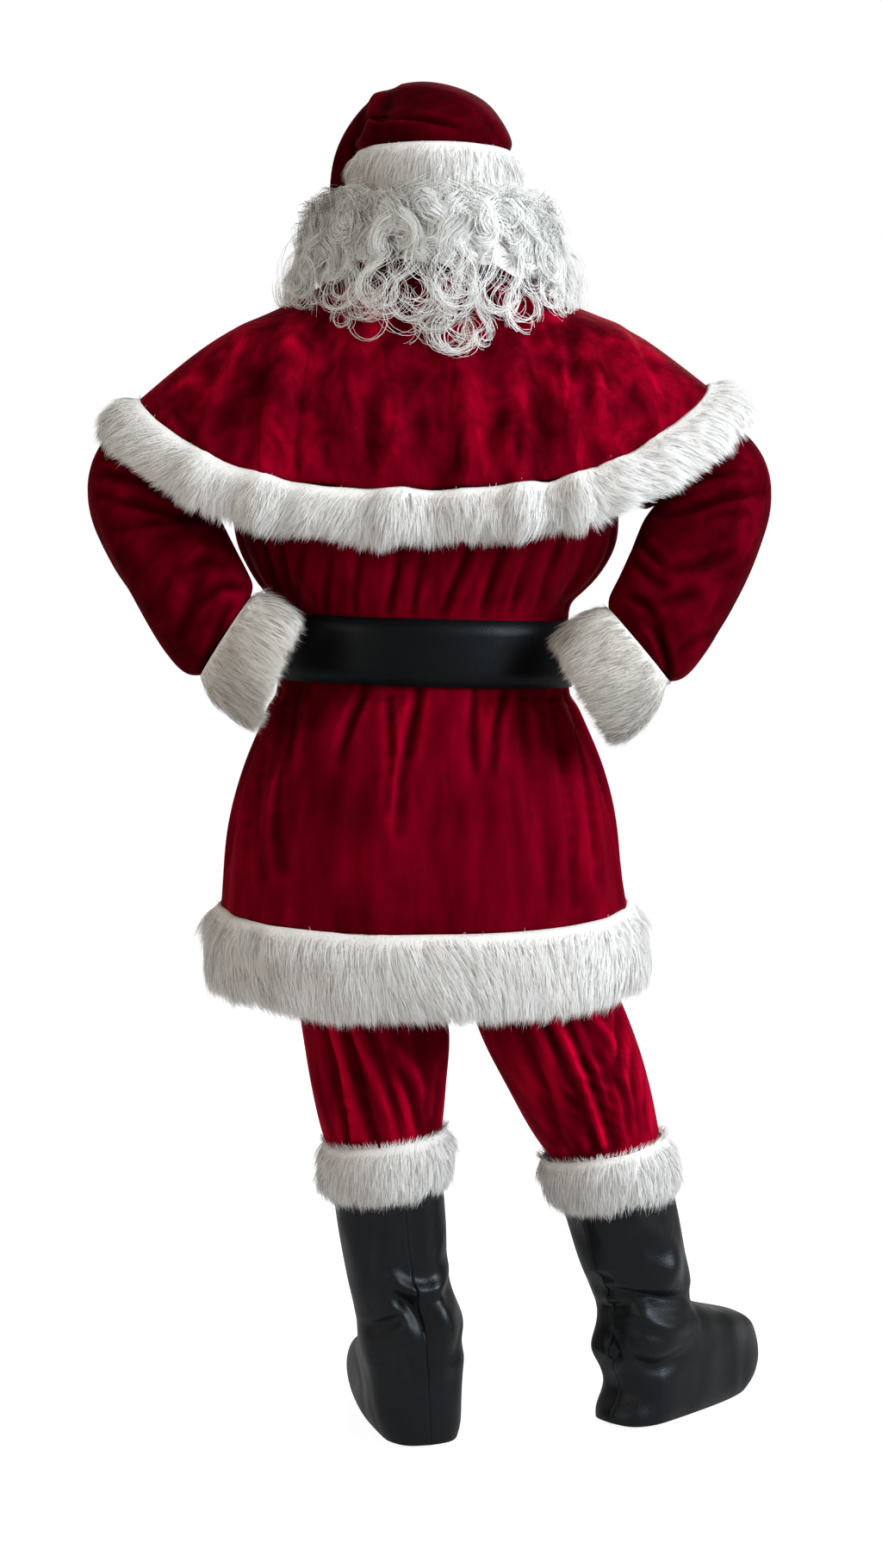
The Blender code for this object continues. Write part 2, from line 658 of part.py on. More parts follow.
LEG_FOLDS = (
    Fold(-120, 30, 0.008, 0.86, 1.10, 160),
    Fold(-60, 28, 0.009, 0.90, 1.14, -140),
    Fold(-150, 26, 0.008, 0.98, 1.14, 120),
    Fold(-20, 30, 0.007, 0.92, 1.13, -60),
    Fold(60, 32, 0.008, 0.90, 1.12, 80),
    Fold(130, 30, 0.008, 0.92, 1.13, -80),
)
CROTCH_TOP = -0.760
CROTCH_BOTTOM = -0.850
HIP_HEIGHTS = (-0.4505, -0.560, -0.660, -0.740, -0.800, -0.850)
LEG_SHARES = (0.18, 0.36, 0.52, 0.68, 0.80, 0.88, 1.0)
LEG_COLUMNS = 15
WAISTBAND_COLUMNS = 28
WAISTBAND = (Pile(-0.4502, 0.0018, -0.0012), Pile(-0.410, 0.0018, -0.0012))


def leg_point(side, height, along):
    """A point of one leg's sheet, along running from the back seam round to the front one."""
    sign = -1 if side == "left" else 1
    row = read(LEGS[side], max(height, LEGS[side][-1].height))
    hip = read(HIPS, max(height, HIPS[-1].height))
    turn = math.radians(-360 * along)
    ring_x = row.out * -1 + row.across * math.cos(turn)
    ring_y = row.forward + row.deep * math.sin(turn)
    hip_x, hip_y = oval(-90 - 180 * along, hip.half_width, hip.back, hip.front, 2.3)
    apart = smooth((CROTCH_TOP - height) / (CROTCH_TOP - CROTCH_BOTTOM))
    x = hip_x + (ring_x - hip_x) * apart
    y = hip_y + (ring_y - hip_y) * apart
    out = Vector((ring_x + row.out, ring_y - row.forward, 0.0)).normalized()
    swell = apart * folds_at(LEG_FOLDS, -360 * along, -height)
    place = Vector((x, y, height)) + out * swell
    place.x *= -sign
    return place


def make_trousers():
    """Both legs and the waistband. A leg's two edges meet down its inseam."""
    for side, sign in (("left", -1), ("right", 1)):
        low, foot = HIP_HEIGHTS[-1], LEGS[side][-1].height
        heights = [*HIP_HEIGHTS, *(low + (foot - low) * share for share in LEG_SHARES)]
        edge = SEAM / (2 * math.pi * LEGS[side][-1].across)
        along = spaced(edge, 1 - edge, LEG_COLUMNS)
        rows = [[leg_point(side, height, a) for a in along] for height in heights]
        for row, height in zip(rows, heights):
            if height > CROTCH_BOTTOM:
                for point in row:
                    point.x = sign * max(SEAM / 2, sign * point.x)
        inner = moved_out(rows, [-VELVET] * len(rows), False)
        for row, height in zip(inner, heights):
            if height > CROTCH_BOTTOM:
                for point in row:
                    point.x = sign * max(SEAM / 2, sign * point.x)
        wall("trousers_" + side, rows, inner, RED_VELVET)
    top = HIPS[0]
    rows = [
        [
            Vector((*oval(a, top.half_width, top.back, top.front, 2.3), pile.level))
            for a in turns(WAISTBAND_COLUMNS)
        ]
        for pile in WAISTBAND
    ]
    band("trousers_waistband", rows, WAISTBAND, RED_VELVET)


# The boot covers: an outer and an inner panel, sewn down the back and the front, open
# underneath, with a fur band round the top.

BootRow = namedtuple("BootRow", "height out forward half_width back front square")
BOOTS = {
    "left": (
        BootRow(-1.125, 0.0550, -0.022, 0.0740, 0.075, 0.075, 2.0),
        BootRow(-1.163, 0.0515, -0.022, 0.0740, 0.075, 0.075, 2.0),
        BootRow(-1.220, 0.0460, -0.020, 0.0725, 0.074, 0.074, 2.0),
        BootRow(-1.271, 0.0415, -0.018, 0.0705, 0.073, 0.074, 2.0),
        BootRow(-1.340, 0.0310, -0.016, 0.0680, 0.073, 0.076, 2.0),
        BootRow(-1.395, 0.0190, -0.014, 0.0690, 0.074, 0.080, 2.1),
        BootRow(-1.425, 0.0175, -0.013, 0.0680, 0.072, 0.100, 2.1),
        BootRow(-1.442, 0.0155, -0.012, 0.0660, 0.070, 0.155, 2.2),
        BootRow(-1.460, 0.0140, -0.012, 0.0630, 0.069, 0.192, 2.3),
        BootRow(-1.495, 0.0125, -0.011, 0.0600, 0.067, 0.222, 2.6),
        BootRow(-1.525, 0.0105, -0.010, 0.0570, 0.066, 0.216, 2.6),
        BootRow(-1.543, 0.0090, -0.010, 0.0510, 0.062, 0.200, 2.6),
    ),
    "right": (
        BootRow(-1.154, 0.2400, 0.044, 0.0750, 0.076, 0.076, 2.0),
        BootRow(-1.192, 0.2530, 0.050, 0.0750, 0.076, 0.076, 2.0),
        BootRow(-1.240, 0.2670, 0.055, 0.0755, 0.076, 0.076, 2.0),
        BootRow(-1.286, 0.2790, 0.058, 0.0750, 0.076, 0.075, 2.0),
        BootRow(-1.340, 0.2930, 0.064, 0.0690, 0.071, 0.070, 2.0),
        BootRow(-1.380, 0.3000, 0.068, 0.0650, 0.067, 0.066, 2.0),
        BootRow(-1.406, 0.3060, 0.071, 0.0610, 0.064, 0.090, 2.1),
        BootRow(-1.424, 0.3065, 0.073, 0.0610, 0.074, 0.164, 2.4),
        BootRow(-1.446, 0.3065, 0.074, 0.0600, 0.080, 0.206, 2.6),
        BootRow(-1.490, 0.3090, 0.075, 0.0545, 0.052, 0.226, 2.8),
        BootRow(-1.525, 0.3080, 0.076, 0.0560, 0.068, 0.216, 2.8),
        BootRow(-1.543, 0.3065, 0.076, 0.0520, 0.072, 0.200, 2.8),
    ),
}
BOOT_TOP = {"left": -1.163, "right": -1.192}
BOOT_TILT = {"left": 0.11, "right": 0.17}
BOOT_TILT_END = -1.36
BOOT_YAW = {"left": 18.0, "right": -45.0}
Slouch = namedtuple("Slouch", "azimuth spread height thick out rise")
BOOT_SLOUCHES = {
    "left": (
        Slouch(-60, 70, -1.382, 0.024, 0.009, 0.020),
        Slouch(-130, 60, -1.345, 0.020, 0.005, -0.018),
        Slouch(90, 70, -1.378, 0.022, 0.008, 0.000),
        Slouch(-40, 60, -1.440, 0.018, 0.005, -0.012),
    ),
    "right": (
        Slouch(-140, 70, -1.338, 0.022, 0.008, 0.016),
        Slouch(-40, 60, -1.365, 0.020, 0.007, -0.016),
        Slouch(80, 70, -1.350, 0.022, 0.008, 0.000),
        Slouch(-110, 60, -1.300, 0.020, 0.004, -0.010),
    ),
}
BOOT_STEPS = (0.0, 0.12, 0.24, 0.36, 0.47, 0.57, 0.655, 0.715, 0.775, 0.87, 0.95, 1.0)
BOOT_COLUMNS = 8
BOOT_FUR_COLUMNS = 18
BOOT_FUR = (
    Pile(0.030, 0.0150, 0.0115),
    Pile(0.020, 0.0180, 0.0100),
    Pile(0.002, 0.0190, 0.0040),
    Pile(-0.020, 0.0180, 0.0014),
    Pile(-0.043, 0.0070, 0.0030),
)


def boot_point(side, azimuth, height, out=0.0):
    """A point of a boot in its own frame, +Y towards the toe, before it is set in place."""
    table = BOOTS[side]
    row = read(table, min(max(height, table[-1].height), table[0].height))
    for slouch in BOOT_SLOUCHES[side]:
        aside = (azimuth - slouch.azimuth + 180) % 360 - 180
        off = height - slouch.height - slouch.rise * aside / slouch.spread
        across = max(0.0, 1 - (aside / slouch.spread) ** 2)
        out += slouch.out * across * max(0.0, 1 - (off / slouch.thick) ** 2)
    x, y = oval(azimuth, row.half_width + out, row.back + out, row.front + out, row.square)
    return Vector((x, y, height))


def boot_place(side):
    """Turns a boot's points to where its foot points and leans them along its leg."""
    sign = -1 if side == "left" else 1
    turn = Matrix.Rotation(math.radians(BOOT_YAW[side]), 3, "Z")

    def place(point):
        row = read(BOOTS[side], point.z)
        turned = turn @ point
        upright = smooth((point.z - BOOT_TILT_END) / (BOOT_TOP[side] - BOOT_TILT_END))
        rise = BOOT_TILT[side] * turned.x * upright
        return turned + Vector((sign * row.out, row.forward, rise))

    return place


def make_boot(side):
    """Both panels and the fur top."""
    top, bottom = BOOT_TOP[side], BOOTS[side][-1].height
    heights = [top + (bottom - top) * step for step in BOOT_STEPS]
    outer_sign = -1 if side == "left" else 1
    for name, sign in (("outer", outer_sign), ("inner", -outer_sign)):
        azimuths = spaced(-90, 90, BOOT_COLUMNS) if sign > 0 else spaced(-90, -270, BOOT_COLUMNS)
        rows = [[boot_point(side, a, height) for a in azimuths] for height in heights]
        cloth(
            f"boot_{side}_{name}",
            rows,
            LEATHERETTE,
            BLACK_LEATHERETTE,
            beyond=[(ACROSS, sign)],
            place=boot_place(side),
        )
    rows = [
        [boot_point(side, a, top + pile.level) for a in turns(BOOT_FUR_COLUMNS)]
        for pile in BOOT_FUR
    ]
    band("boot_fur_" + side, rows, BOOT_FUR, WHITE_FUR, place=boot_place(side))


# The hat: a cone that folds over to the left front, a fur band round it and a pompom.

HEAD_X = 0.012
HEAD_Y = 0.020
HatRow = namedtuple("HatRow", "share x y z tilt across deep")
HAT = (
    HatRow(0.00, 0.015, 0.020, 0.100, 0.0, 0.0935, 0.1120),
    HatRow(0.12, 0.015, 0.020, 0.160, 0.0, 0.0955, 0.1140),
    HatRow(0.17, 0.014, 0.020, 0.179, 0.0, 0.1040, 0.1200),
    HatRow(0.25, 0.012, 0.020, 0.203, 5.0, 0.0900, 0.1060),
    HatRow(0.32, -0.004, 0.022, 0.2150, 18.0, 0.0800, 0.0900),
    HatRow(0.40, -0.034, 0.032, 0.2215, 40.0, 0.0600, 0.0700),
    HatRow(0.49, -0.066, 0.050, 0.2170, 62.0, 0.0420, 0.0500),
    HatRow(0.58, -0.086, 0.078, 0.1970, 98.0, 0.0270, 0.0350),
    HatRow(0.68, -0.101, 0.112, 0.1620, 140.0, 0.0240, 0.0270),
    HatRow(0.80, -0.104, 0.134, 0.1150, 168.0, 0.0230, 0.0210),
    HatRow(0.91, -0.103, 0.138, 0.0750, 176.0, 0.0170, 0.0170),
    HatRow(1.00, -0.102, 0.140, 0.0480, 180.0, 0.0110, 0.0110),
)
HAT_FOLDS = (
    Fold(-60, 26, 0.006, 0.16, 0.55, 30),
    Fold(-120, 26, 0.007, 0.18, 0.60, -20),
    Fold(150, 30, 0.006, 0.20, 0.70, 0),
    Fold(40, 30, 0.006, 0.18, 0.60, 0),
)
HAT_SHARES = (0.0, 0.12, 0.17, 0.25, 0.32, 0.40, 0.49, 0.58, 0.68, 0.80, 0.91, 1.0)
HAT_COLUMNS = 20
BRIM = (
    Pile(0.081, 0.010, 0.0018),
    Pile(0.096, 0.021, 0.0018),
    Pile(0.124, 0.023, 0.0018),
    Pile(0.150, 0.021, 0.0025),
    Pile(0.166, 0.014, 0.0080),
)
POMPOM_PLACE = Vector((-0.102, 0.141, 0.012))
POMPOM_CORE = 0.024
POMPOM_TUFT = 0.012


def hat_point(share, azimuth):
    """A point of the hat's outer face."""
    row = read(HAT, share)
    tilt = math.radians(row.tilt)
    swell = folds_at(HAT_FOLDS, azimuth, share)
    x, y = oval(azimuth, row.across + swell, row.deep + swell, row.deep + swell)
    return Vector((row.x + x * math.cos(tilt), row.y + y, row.z + x * math.sin(tilt)))


def make_hat():
    """Cone, band and pompom."""
    rows = [[hat_point(share, a) for a in turns(HAT_COLUMNS)] for share in HAT_SHARES]
    cloth("hat_cone", rows, VELVET, RED_VELVET, around=True, flat_ends=True)
    row = HAT[1]
    rows = [
        [
            Vector((row.x, row.y, pile.level)) + Vector((*oval(a, row.across, row.deep, row.deep), 0))
            for a in turns(HAT_COLUMNS)
        ]
        for pile in BRIM
    ]
    band("hat_brim", rows, BRIM, WHITE_FUR)
    bm = bmesh.new()
    bmesh.ops.create_icosphere(
        bm, subdivisions=2, radius=POMPOM_CORE, matrix=Matrix.Translation(POMPOM_PLACE)
    )
    bmesh.ops.poke(bm, faces=bm.faces, offset=POMPOM_TUFT, center_mode="MEAN")
    add("hat_pompom", bm, WHITE_FUR)


# The wig: a cap that is open over the face, and three wefts of curled locks round it.

CapRow = namedtuple("CapRow", "share half_width deep")
CAP = (
    CapRow(0.00, 0.082, 0.100),
    CapRow(0.30, 0.086, 0.105),
    CapRow(0.60, 0.082, 0.099),
    CapRow(0.82, 0.062, 0.075),
    CapRow(1.00, 0.022, 0.027),
)
CAP_NAPE = 0.024
CAP_FACE = 0.118
CAP_TOP = 0.196
CAP_WALL = 0.0015
CAP_COLUMNS = 18
CAP_SHARES = (0.0, 0.25, 0.50, 0.72, 0.90, 1.0)
# A weft's locks leave its strip at a height, turn over at a middle and end at a tip, each
# as a distance out from the middle of the head and a height, at the side and at the back.
Weft = namedtuple(
    "Weft",
    "name height first side_middle side_rise side_tip side_drop"
    " back_middle back_rise back_tip back_drop",
)
WEFTS = (
    Weft("crown", 0.0640, 0.0, 0.165, 0.108, 0.176, 0.045, 0.160, 0.084, 0.180, 0.006),
    Weft("middle", 0.0490, 0.5, 0.176, 0.072, 0.190, 0.008, 0.158, 0.048, 0.192, -0.052),
    Weft("nape", 0.0340, 0.0, 0.160, 0.038, 0.178, -0.012, 0.158, 0.020, 0.200, -0.104),
)
STRIP_OUT = 0.0022
STRIP_THICKNESS = 0.005
STRIP_HEIGHT = 0.008
WIG_FIRST = -192.0
WIG_LAST = 12.0
LOCKS = 12
LOCK_STEPS = 6
LOCK_WIDTH = 0.036
LOCK_DEPTH = 0.015
LOCK_WAVE = 0.012
LOCK_HOOK = 0.008
LOCK_ROOT = 0.3
LOCK_FULL = 0.8


def cap_point(share, azimuth):
    """A point of the cap, whose edge rises over the face."""
    row = read(CAP, share)
    x, y = oval(azimuth, row.half_width, row.deep, row.deep)
    face = smooth(0.5 + 1.6 * math.sin(math.radians(azimuth)))
    edge = CAP_NAPE + (CAP_FACE - CAP_NAPE) * face
    rise = math.sin(math.pi / 2 * share) ** 1.2
    return Vector((HEAD_X + x, HEAD_Y + y, edge + (CAP_TOP - edge) * rise))


def strip_grid(height, out):
    """The strip of a weft at a distance out of the cap."""
    widest = read(CAP, 0.3)
    return [
        [
            Vector((HEAD_X, HEAD_Y, height + level))
            + Vector((*oval(a, widest.half_width + out, widest.deep + out, widest.deep + out), 0))
            for a in spaced(WIG_FIRST - 6, WIG_LAST + 6, 12)
        ]
        for level in (-STRIP_HEIGHT / 2, STRIP_HEIGHT / 2)
    ]


def lock_path(weft, azimuth, wave):
    """The middle line of one lock."""
    widest = read(CAP, 0.3)
    root_out = STRIP_OUT + STRIP_THICKNESS / 2
    root = Vector(oval(azimuth, widest.half_width + root_out, widest.deep + root_out,
                       widest.deep + root_out)).length
    back = max(0.0, -math.sin(math.radians(azimuth))) ** 2
    middle = Vector((weft.side_middle, weft.side_rise)).lerp(
        Vector((weft.back_middle, weft.back_rise)), back
    )
    tip = Vector((weft.side_tip, weft.side_drop)).lerp(
        Vector((weft.back_tip, weft.back_drop)), back
    )
    start = Vector((root, weft.height))
    points = []
    for t in spaced(0, 1, LOCK_STEPS):
        out, height = start * (1 - t) ** 2 + middle * 2 * t * (1 - t) + tip * t * t
        hook = smooth((t - 0.7) / 0.3)
        out += LOCK_HOOK * hook
        height += LOCK_HOOK * hook**2
        turn = math.radians(azimuth) + wave * LOCK_WAVE * math.sin(1.7 * math.pi * t) * t / out
        points.append(Vector((HEAD_X + out * math.cos(turn), HEAD_Y + out * math.sin(turn), height)))
    return points


def add_lock(bm, points):
    """One lock: a four-sided tube, widest in its middle."""
    rings = []
    count = len(points)
    for i, point in enumerate(points):
        along = (points[min(i + 1, count - 1)] - points[max(i - 1, 0)]).normalized()
        outward = Vector((point.x - HEAD_X, point.y - HEAD_Y, 0.0)).normalized()
        aside = outward.cross(Vector((0, 0, 1))).normalized()
        aside = (aside - along * along.dot(aside)).normalized()
        proud = along.cross(aside)
        t = i / (count - 1)
        full = smooth(t / LOCK_FULL) if t < LOCK_FULL else 1 - 0.5 * (t - LOCK_FULL) / (1 - LOCK_FULL)
        width = LOCK_WIDTH * (LOCK_ROOT + (1 - LOCK_ROOT) * full) / 2
        depth = LOCK_DEPTH * (LOCK_ROOT + (1 - LOCK_ROOT) * full) / 2
        corners = (aside * width, proud * depth, -aside * width, -proud * depth)
        rings.append([bm.verts.new(point + corner) for corner in corners])
    for ring, after in zip(rings, rings[1:]):
        for j in range(4):
            k = (j + 1) % 4
            bm.faces.new((ring[j], ring[k], after[k], after[j]))
    bm.faces.new(rings[0][::-1])
    bm.faces.new(rings[-1])


def make_weft(weft):
    """A strip with its locks fused to it."""
    strip = wall(
        "wig_weft_" + weft.name,
        strip_grid(weft.height, STRIP_OUT + STRIP_THICKNESS),
        strip_grid(weft.height, STRIP_OUT),
        WHITE_HAIR,
    )
    bm = bmesh.new()
    step = (WIG_LAST - WIG_FIRST) / LOCKS
    for i in range(LOCKS):
        azimuth = WIG_FIRST + step * (i + 0.25 + weft.first)
        add_lock(bm, lock_path(weft, azimuth, 1 if weft.first else -1))
    locks = add("locks_" + weft.name, bm, WHITE_HAIR)
    locks.hide_render = True
    locks.display_type = "WIRE"
    fuse = strip.modifiers.new("locks", "BOOLEAN")
    fuse.operation = "UNION"
    fuse.object = locks


def make_wig():
    """Cap and wefts."""
    rows = [[cap_point(share, a) for a in turns(CAP_COLUMNS)] for share in CAP_SHARES]
    cloth("wig_cap", rows, CAP_WALL, WIG_NET, around=True)
    for weft in WEFTS:
        make_weft(weft)


make_coat()
for arm in ("left", "right"):
    make_sleeve(arm)
make_belt()
make_cape()
make_trousers()
for foot in ("left", "right"):
    make_boot(foot)
make_hat()
make_wig()
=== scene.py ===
from collections import namedtuple
from math import pi, radians

import bmesh
import bpy
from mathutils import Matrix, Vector, kdtree
import numpy as np


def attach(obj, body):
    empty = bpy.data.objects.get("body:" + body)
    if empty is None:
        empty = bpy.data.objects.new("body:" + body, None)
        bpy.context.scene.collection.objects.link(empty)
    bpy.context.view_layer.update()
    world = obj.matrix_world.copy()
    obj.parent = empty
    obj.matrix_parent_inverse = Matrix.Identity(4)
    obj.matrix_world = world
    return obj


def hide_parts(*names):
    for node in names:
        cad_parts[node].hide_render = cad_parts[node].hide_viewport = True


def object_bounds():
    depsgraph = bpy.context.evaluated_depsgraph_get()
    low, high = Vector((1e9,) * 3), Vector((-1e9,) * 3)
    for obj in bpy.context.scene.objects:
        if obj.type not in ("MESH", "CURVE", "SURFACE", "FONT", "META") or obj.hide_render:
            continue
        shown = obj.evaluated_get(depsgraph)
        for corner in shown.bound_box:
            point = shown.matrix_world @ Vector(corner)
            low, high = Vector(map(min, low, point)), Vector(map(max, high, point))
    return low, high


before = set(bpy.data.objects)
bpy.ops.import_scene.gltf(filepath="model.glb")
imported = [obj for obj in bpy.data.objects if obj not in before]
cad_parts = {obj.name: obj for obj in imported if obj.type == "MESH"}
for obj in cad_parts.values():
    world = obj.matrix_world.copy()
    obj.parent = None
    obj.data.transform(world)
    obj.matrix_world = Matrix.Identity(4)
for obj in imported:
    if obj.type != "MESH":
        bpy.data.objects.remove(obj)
solid_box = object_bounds()


# Studio: a camera behind the standing suit at chest height, looking slightly down, a large soft
# key light high on its right, a weaker one on its left, a top light, one from the far side, and
# a pale floor disc.

CAMERA_PLACE = (0.024, -3.700, -0.350)
CAMERA_PITCH = 4.84
CAMERA_LENS = 63.97
CAMERA_SENSOR = 36.0
ROOM_STRENGTH = 0.27
FLOOR_RADIUS = 9.0
FLOOR_GAP = 0.004


def placed(name, data):
    """Put an object in the scene."""
    thing = bpy.data.objects.new(name, data)
    bpy.context.collection.objects.link(thing)
    return thing


def softbox(name, place, aim, size, watts, tint):
    """Hang a square soft light at a place, turned to a point."""
    lamp = bpy.data.lights.new(name, "AREA")
    lamp.size = size
    lamp.energy = watts
    lamp.color = tint
    light = placed(name, lamp)
    light.location = place
    light.rotation_euler = (Vector(aim) - Vector(place)).to_track_quat("-Z", "Y").to_euler()


def dial(node, settings):
    """Set a node's inputs to values, or wire them to other nodes' outputs."""
    for socket, setting in settings.items():
        if isinstance(setting, bpy.types.NodeSocket):
            node.id_data.links.new(setting, node.inputs[socket])
        else:
            node.inputs[socket].default_value = setting


def added(tree, kind, settings=None):
    """Add a node to a tree and dial it."""
    node = tree.nodes.new("ShaderNode" + kind)
    dial(node, settings or {})
    return node


def blank(name):
    """Start a material: its tree, its shader and its object coordinates."""
    made = bpy.data.materials.new(name)
    made.use_nodes = True
    tree = made.node_tree
    return made, tree, tree.nodes["Principled BSDF"], added(tree, "TexCoord").outputs["Object"]


camera = placed("camera", bpy.data.cameras.new("camera"))
camera.data.lens = CAMERA_LENS
camera.data.sensor_width = CAMERA_SENSOR
camera.location = CAMERA_PLACE
camera.rotation_euler = (radians(90.0 - CAMERA_PITCH), 0.0, 0.0)
bpy.context.scene.camera = camera
bpy.context.scene.view_settings.view_transform = "Standard"

softbox("key_light", (3.3, -2.0, 1.3), (0.0, 0.0, -0.6), 2.1, 200.0, (0.90, 0.96, 1.0))
softbox("fill_light", (-2.9, -2.6, 0.6), (0.0, 0.0, -0.6), 2.4, 30.0, (1.0, 0.86, 0.72))
softbox("top_light", (0.9, -0.2, 2.6), (0.0, 0.0, -0.5), 2.0, 18.0, (0.95, 0.98, 1.0))
softbox("far_light", (0.6, 3.2, 0.9), (0.0, 0.0, -0.6), 2.2, 40.0, (1.0, 0.98, 0.95))

world = bpy.data.worlds.new("pale_room")
world.use_nodes = True
room = world.node_tree
room_light = room.nodes["Background"]
dial(room_light, {"Color": (1.0, 0.95, 0.88, 1.0), "Strength": ROOM_STRENGTH})
wall_paper = added(room, "Background", {"Color": (1.0, 1.0, 1.0, 1.0)})
seen = added(room, "LightPath").outputs["Is Camera Ray"]
either = added(room, "MixShader", {"Fac": seen, 1: room_light.outputs["Background"],
                                   2: wall_paper.outputs["Background"]})
dial(room.nodes["World Output"], {"Surface": either.outputs["Shader"]})
bpy.context.scene.world = world

floor_bm = bmesh.new()
bmesh.ops.create_circle(floor_bm, cap_ends=True, segments=96, radius=FLOOR_RADIUS)
bmesh.ops.translate(floor_bm, verts=floor_bm.verts, vec=(0.0, 0.0, solid_box[0][2] - FLOOR_GAP))
floor = placed("floor", bpy.data.meshes.new("floor"))
floor_bm.to_mesh(floor.data)
floor_bm.free()
floor_paint, floor_tree, paint, _ = blank("floor_paint")
direct = added(floor_tree, "LightPath").outputs["Is Camera Ray"]
glow = added(floor_tree, "MapRange", {"Value": direct, "To Min": 0.22, "To Max": 0.93})
dial(paint, {"Base Color": (0.34, 0.34, 0.345, 1.0), "Roughness": 0.9, "Specular IOR Level": 0.0,
             "Emission Color": (0.99, 0.99, 1.0, 1.0), "Emission Strength": glow.outputs["Result"]})
floor.data.materials.append(floor_paint)


# Coat: two fronts and a back with a seam under the belt, of crushed velvet gathered into the belt
# and flared below it. The cloth lies on the outer face of each solid wall, with its creases
# pressed in, and the panels meet at the side seams and at the closed front.

VELVET_THICKNESS = 0.0018
WELD_GAP = 1e-5
QUAD_ANGLE = 60.0
ANY_CORNER = -1.1
SETTLING_ROUNDS = 2
PATH_STEPS = 9
CLOTH_PRESS = 1.7
SIDE_FADE = 0.6
CREASE_ENDS = 0.06
CREASE_LIPS = 0.55
CREASE_FALL = 0.8
BEND_SPREADS = 4
SHORTEST = 1e-6
FORM_SHARE = 0.7
FOLD_LIGHT = 0.010
BACK = (0.0, -1.0, 0.0)
FRONT = (0.0, 1.0, 0.0)
LEFT = (-1.0, 0.0, 0.0)
RIGHT = (1.0, 0.0, 0.0)
ABOVE = (0.0, 0.0, 1.0)
VELVET_SHADES = (
    (0.05, (0.024, 0.0001, 0.0014)), (0.32, (0.072, 0.0001, 0.0038)),
    (0.52, (0.150, 0.0002, 0.0074)), (0.74, (0.300, 0.0004, 0.0150)),
    (0.95, (0.560, 0.0008, 0.0240)))
# grey levels across each small drape: a dark line of painted shade in its trough, a painted
# highlight beside it; they also raise the drape's bump
DRAPE_RELIEF_AND_PAINTED_SHADE = ((0.30, 0.84), (0.42, 0.78), (0.485, 0.05), (0.535, 1.0), (0.61, 0.88), (0.70, 0.84))

Crease = namedtuple("Crease", "width depth path")


def creases(*rows):
    """Read creases in millimetres: width, depth, then across and height at each stop."""
    read = []
    for width, depth, *stops in rows:
        path = [(across / 1000, height / 1000) for across, height in zip(stops[::2], stops[1::2])]
        read.append(Crease(width / 1000, depth / 1000, path))
    return read


def outer_face(node, rim=0.004, corner=ANY_CORNER):
    """Take the outer side of a solid wall, as a bmesh of quads, without its rims.

    It ends at bends sharper than corner, the least cosine between faces that are kept together.
    """
    bm = bmesh.new()
    bm.from_mesh(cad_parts[node].data)
    bmesh.ops.remove_doubles(bm, verts=bm.verts, dist=WELD_GAP)
    bmesh.ops.join_triangles(bm, faces=bm.faces, angle_face_threshold=radians(QUAD_ANGLE),
                             angle_shape_threshold=pi)
    rims = [face for face in bm.faces if min(edge.calc_length() for edge in face.edges) < rim]
    bmesh.ops.delete(bm, geom=rims, context="FACES")
    middle = sum((vert.co for vert in bm.verts), Vector()) / len(bm.verts)
    waiting = set(bm.faces)
    islands = []
    while waiting:
        island = {waiting.pop()}
        fresh = list(island)
        while fresh:
            face = fresh.pop()
            for edge in face.edges:
                for beside in edge.link_faces:
                    if beside in waiting and face.normal.dot(beside.normal) > corner:
                        waiting.discard(beside)
                        island.add(beside)
                        fresh.append(beside)
        islands.append(island)
    outer = max(islands, key=lambda island: sum(
        face.calc_area() * face.normal.dot(face.calc_center_median() - middle) for face in island))
    inner = [face for face in bm.faces if face not in outer]
    bmesh.ops.delete(bm, geom=inner, context="FACES")
    return bm


def rows_of(items, field, parts=3, kind=float):
    """Read a field of many items as an array of rows."""
    rows = np.empty(len(items) * parts, kind)
    items.foreach_get(field, rows)
    return rows.reshape(-1, parts)


def points_of(mesh):
    """Read a mesh's points."""
    return rows_of(mesh.vertices, "co")


def normals_of(mesh):
    """Read the way that a mesh faces at each point."""
    return rows_of(mesh.vertex_normals, "vector")


def set_points(mesh, rows):
    """Move a mesh's points to the rows of an array."""
    mesh.vertices.foreach_set("co", rows.ravel())
    mesh.update()


def lengths(rows):
    """Measure rows of vectors."""
    return np.linalg.norm(rows, axis=-1)


def rounded(bm, levels):
    """Subdivide a form smoothly, so that it still passes through the points it had."""
    mesh = bpy.data.meshes.new("form")
    bm.to_mesh(mesh)
    bm.free()
    form = placed("form", mesh)
    soften = form.modifiers.new("soften", "SUBSURF")
    soften.levels = levels
    soften.render_levels = levels
    soften.boundary_smooth = "PRESERVE_CORNERS"
    wanted = points_of(mesh)
    for _ in range(SETTLING_ROUNDS):
        settled = form.evaluated_get(bpy.context.evaluated_depsgraph_get())
        reached = points_of(settled.to_mesh())[:len(wanted)]
        settled.to_mesh_clear()
        set_points(mesh, points_of(mesh) + wanted - reached)
        bpy.context.view_layer.update()
    smooth = bpy.data.meshes.new_from_object(
        form.evaluated_get(bpy.context.evaluated_depsgraph_get()))
    bpy.data.objects.remove(form)
    smooth.attributes.new("plain_place", "FLOAT_VECTOR", "POINT").data.foreach_set(
        "vector", points_of(smooth).ravel())
    return smooth


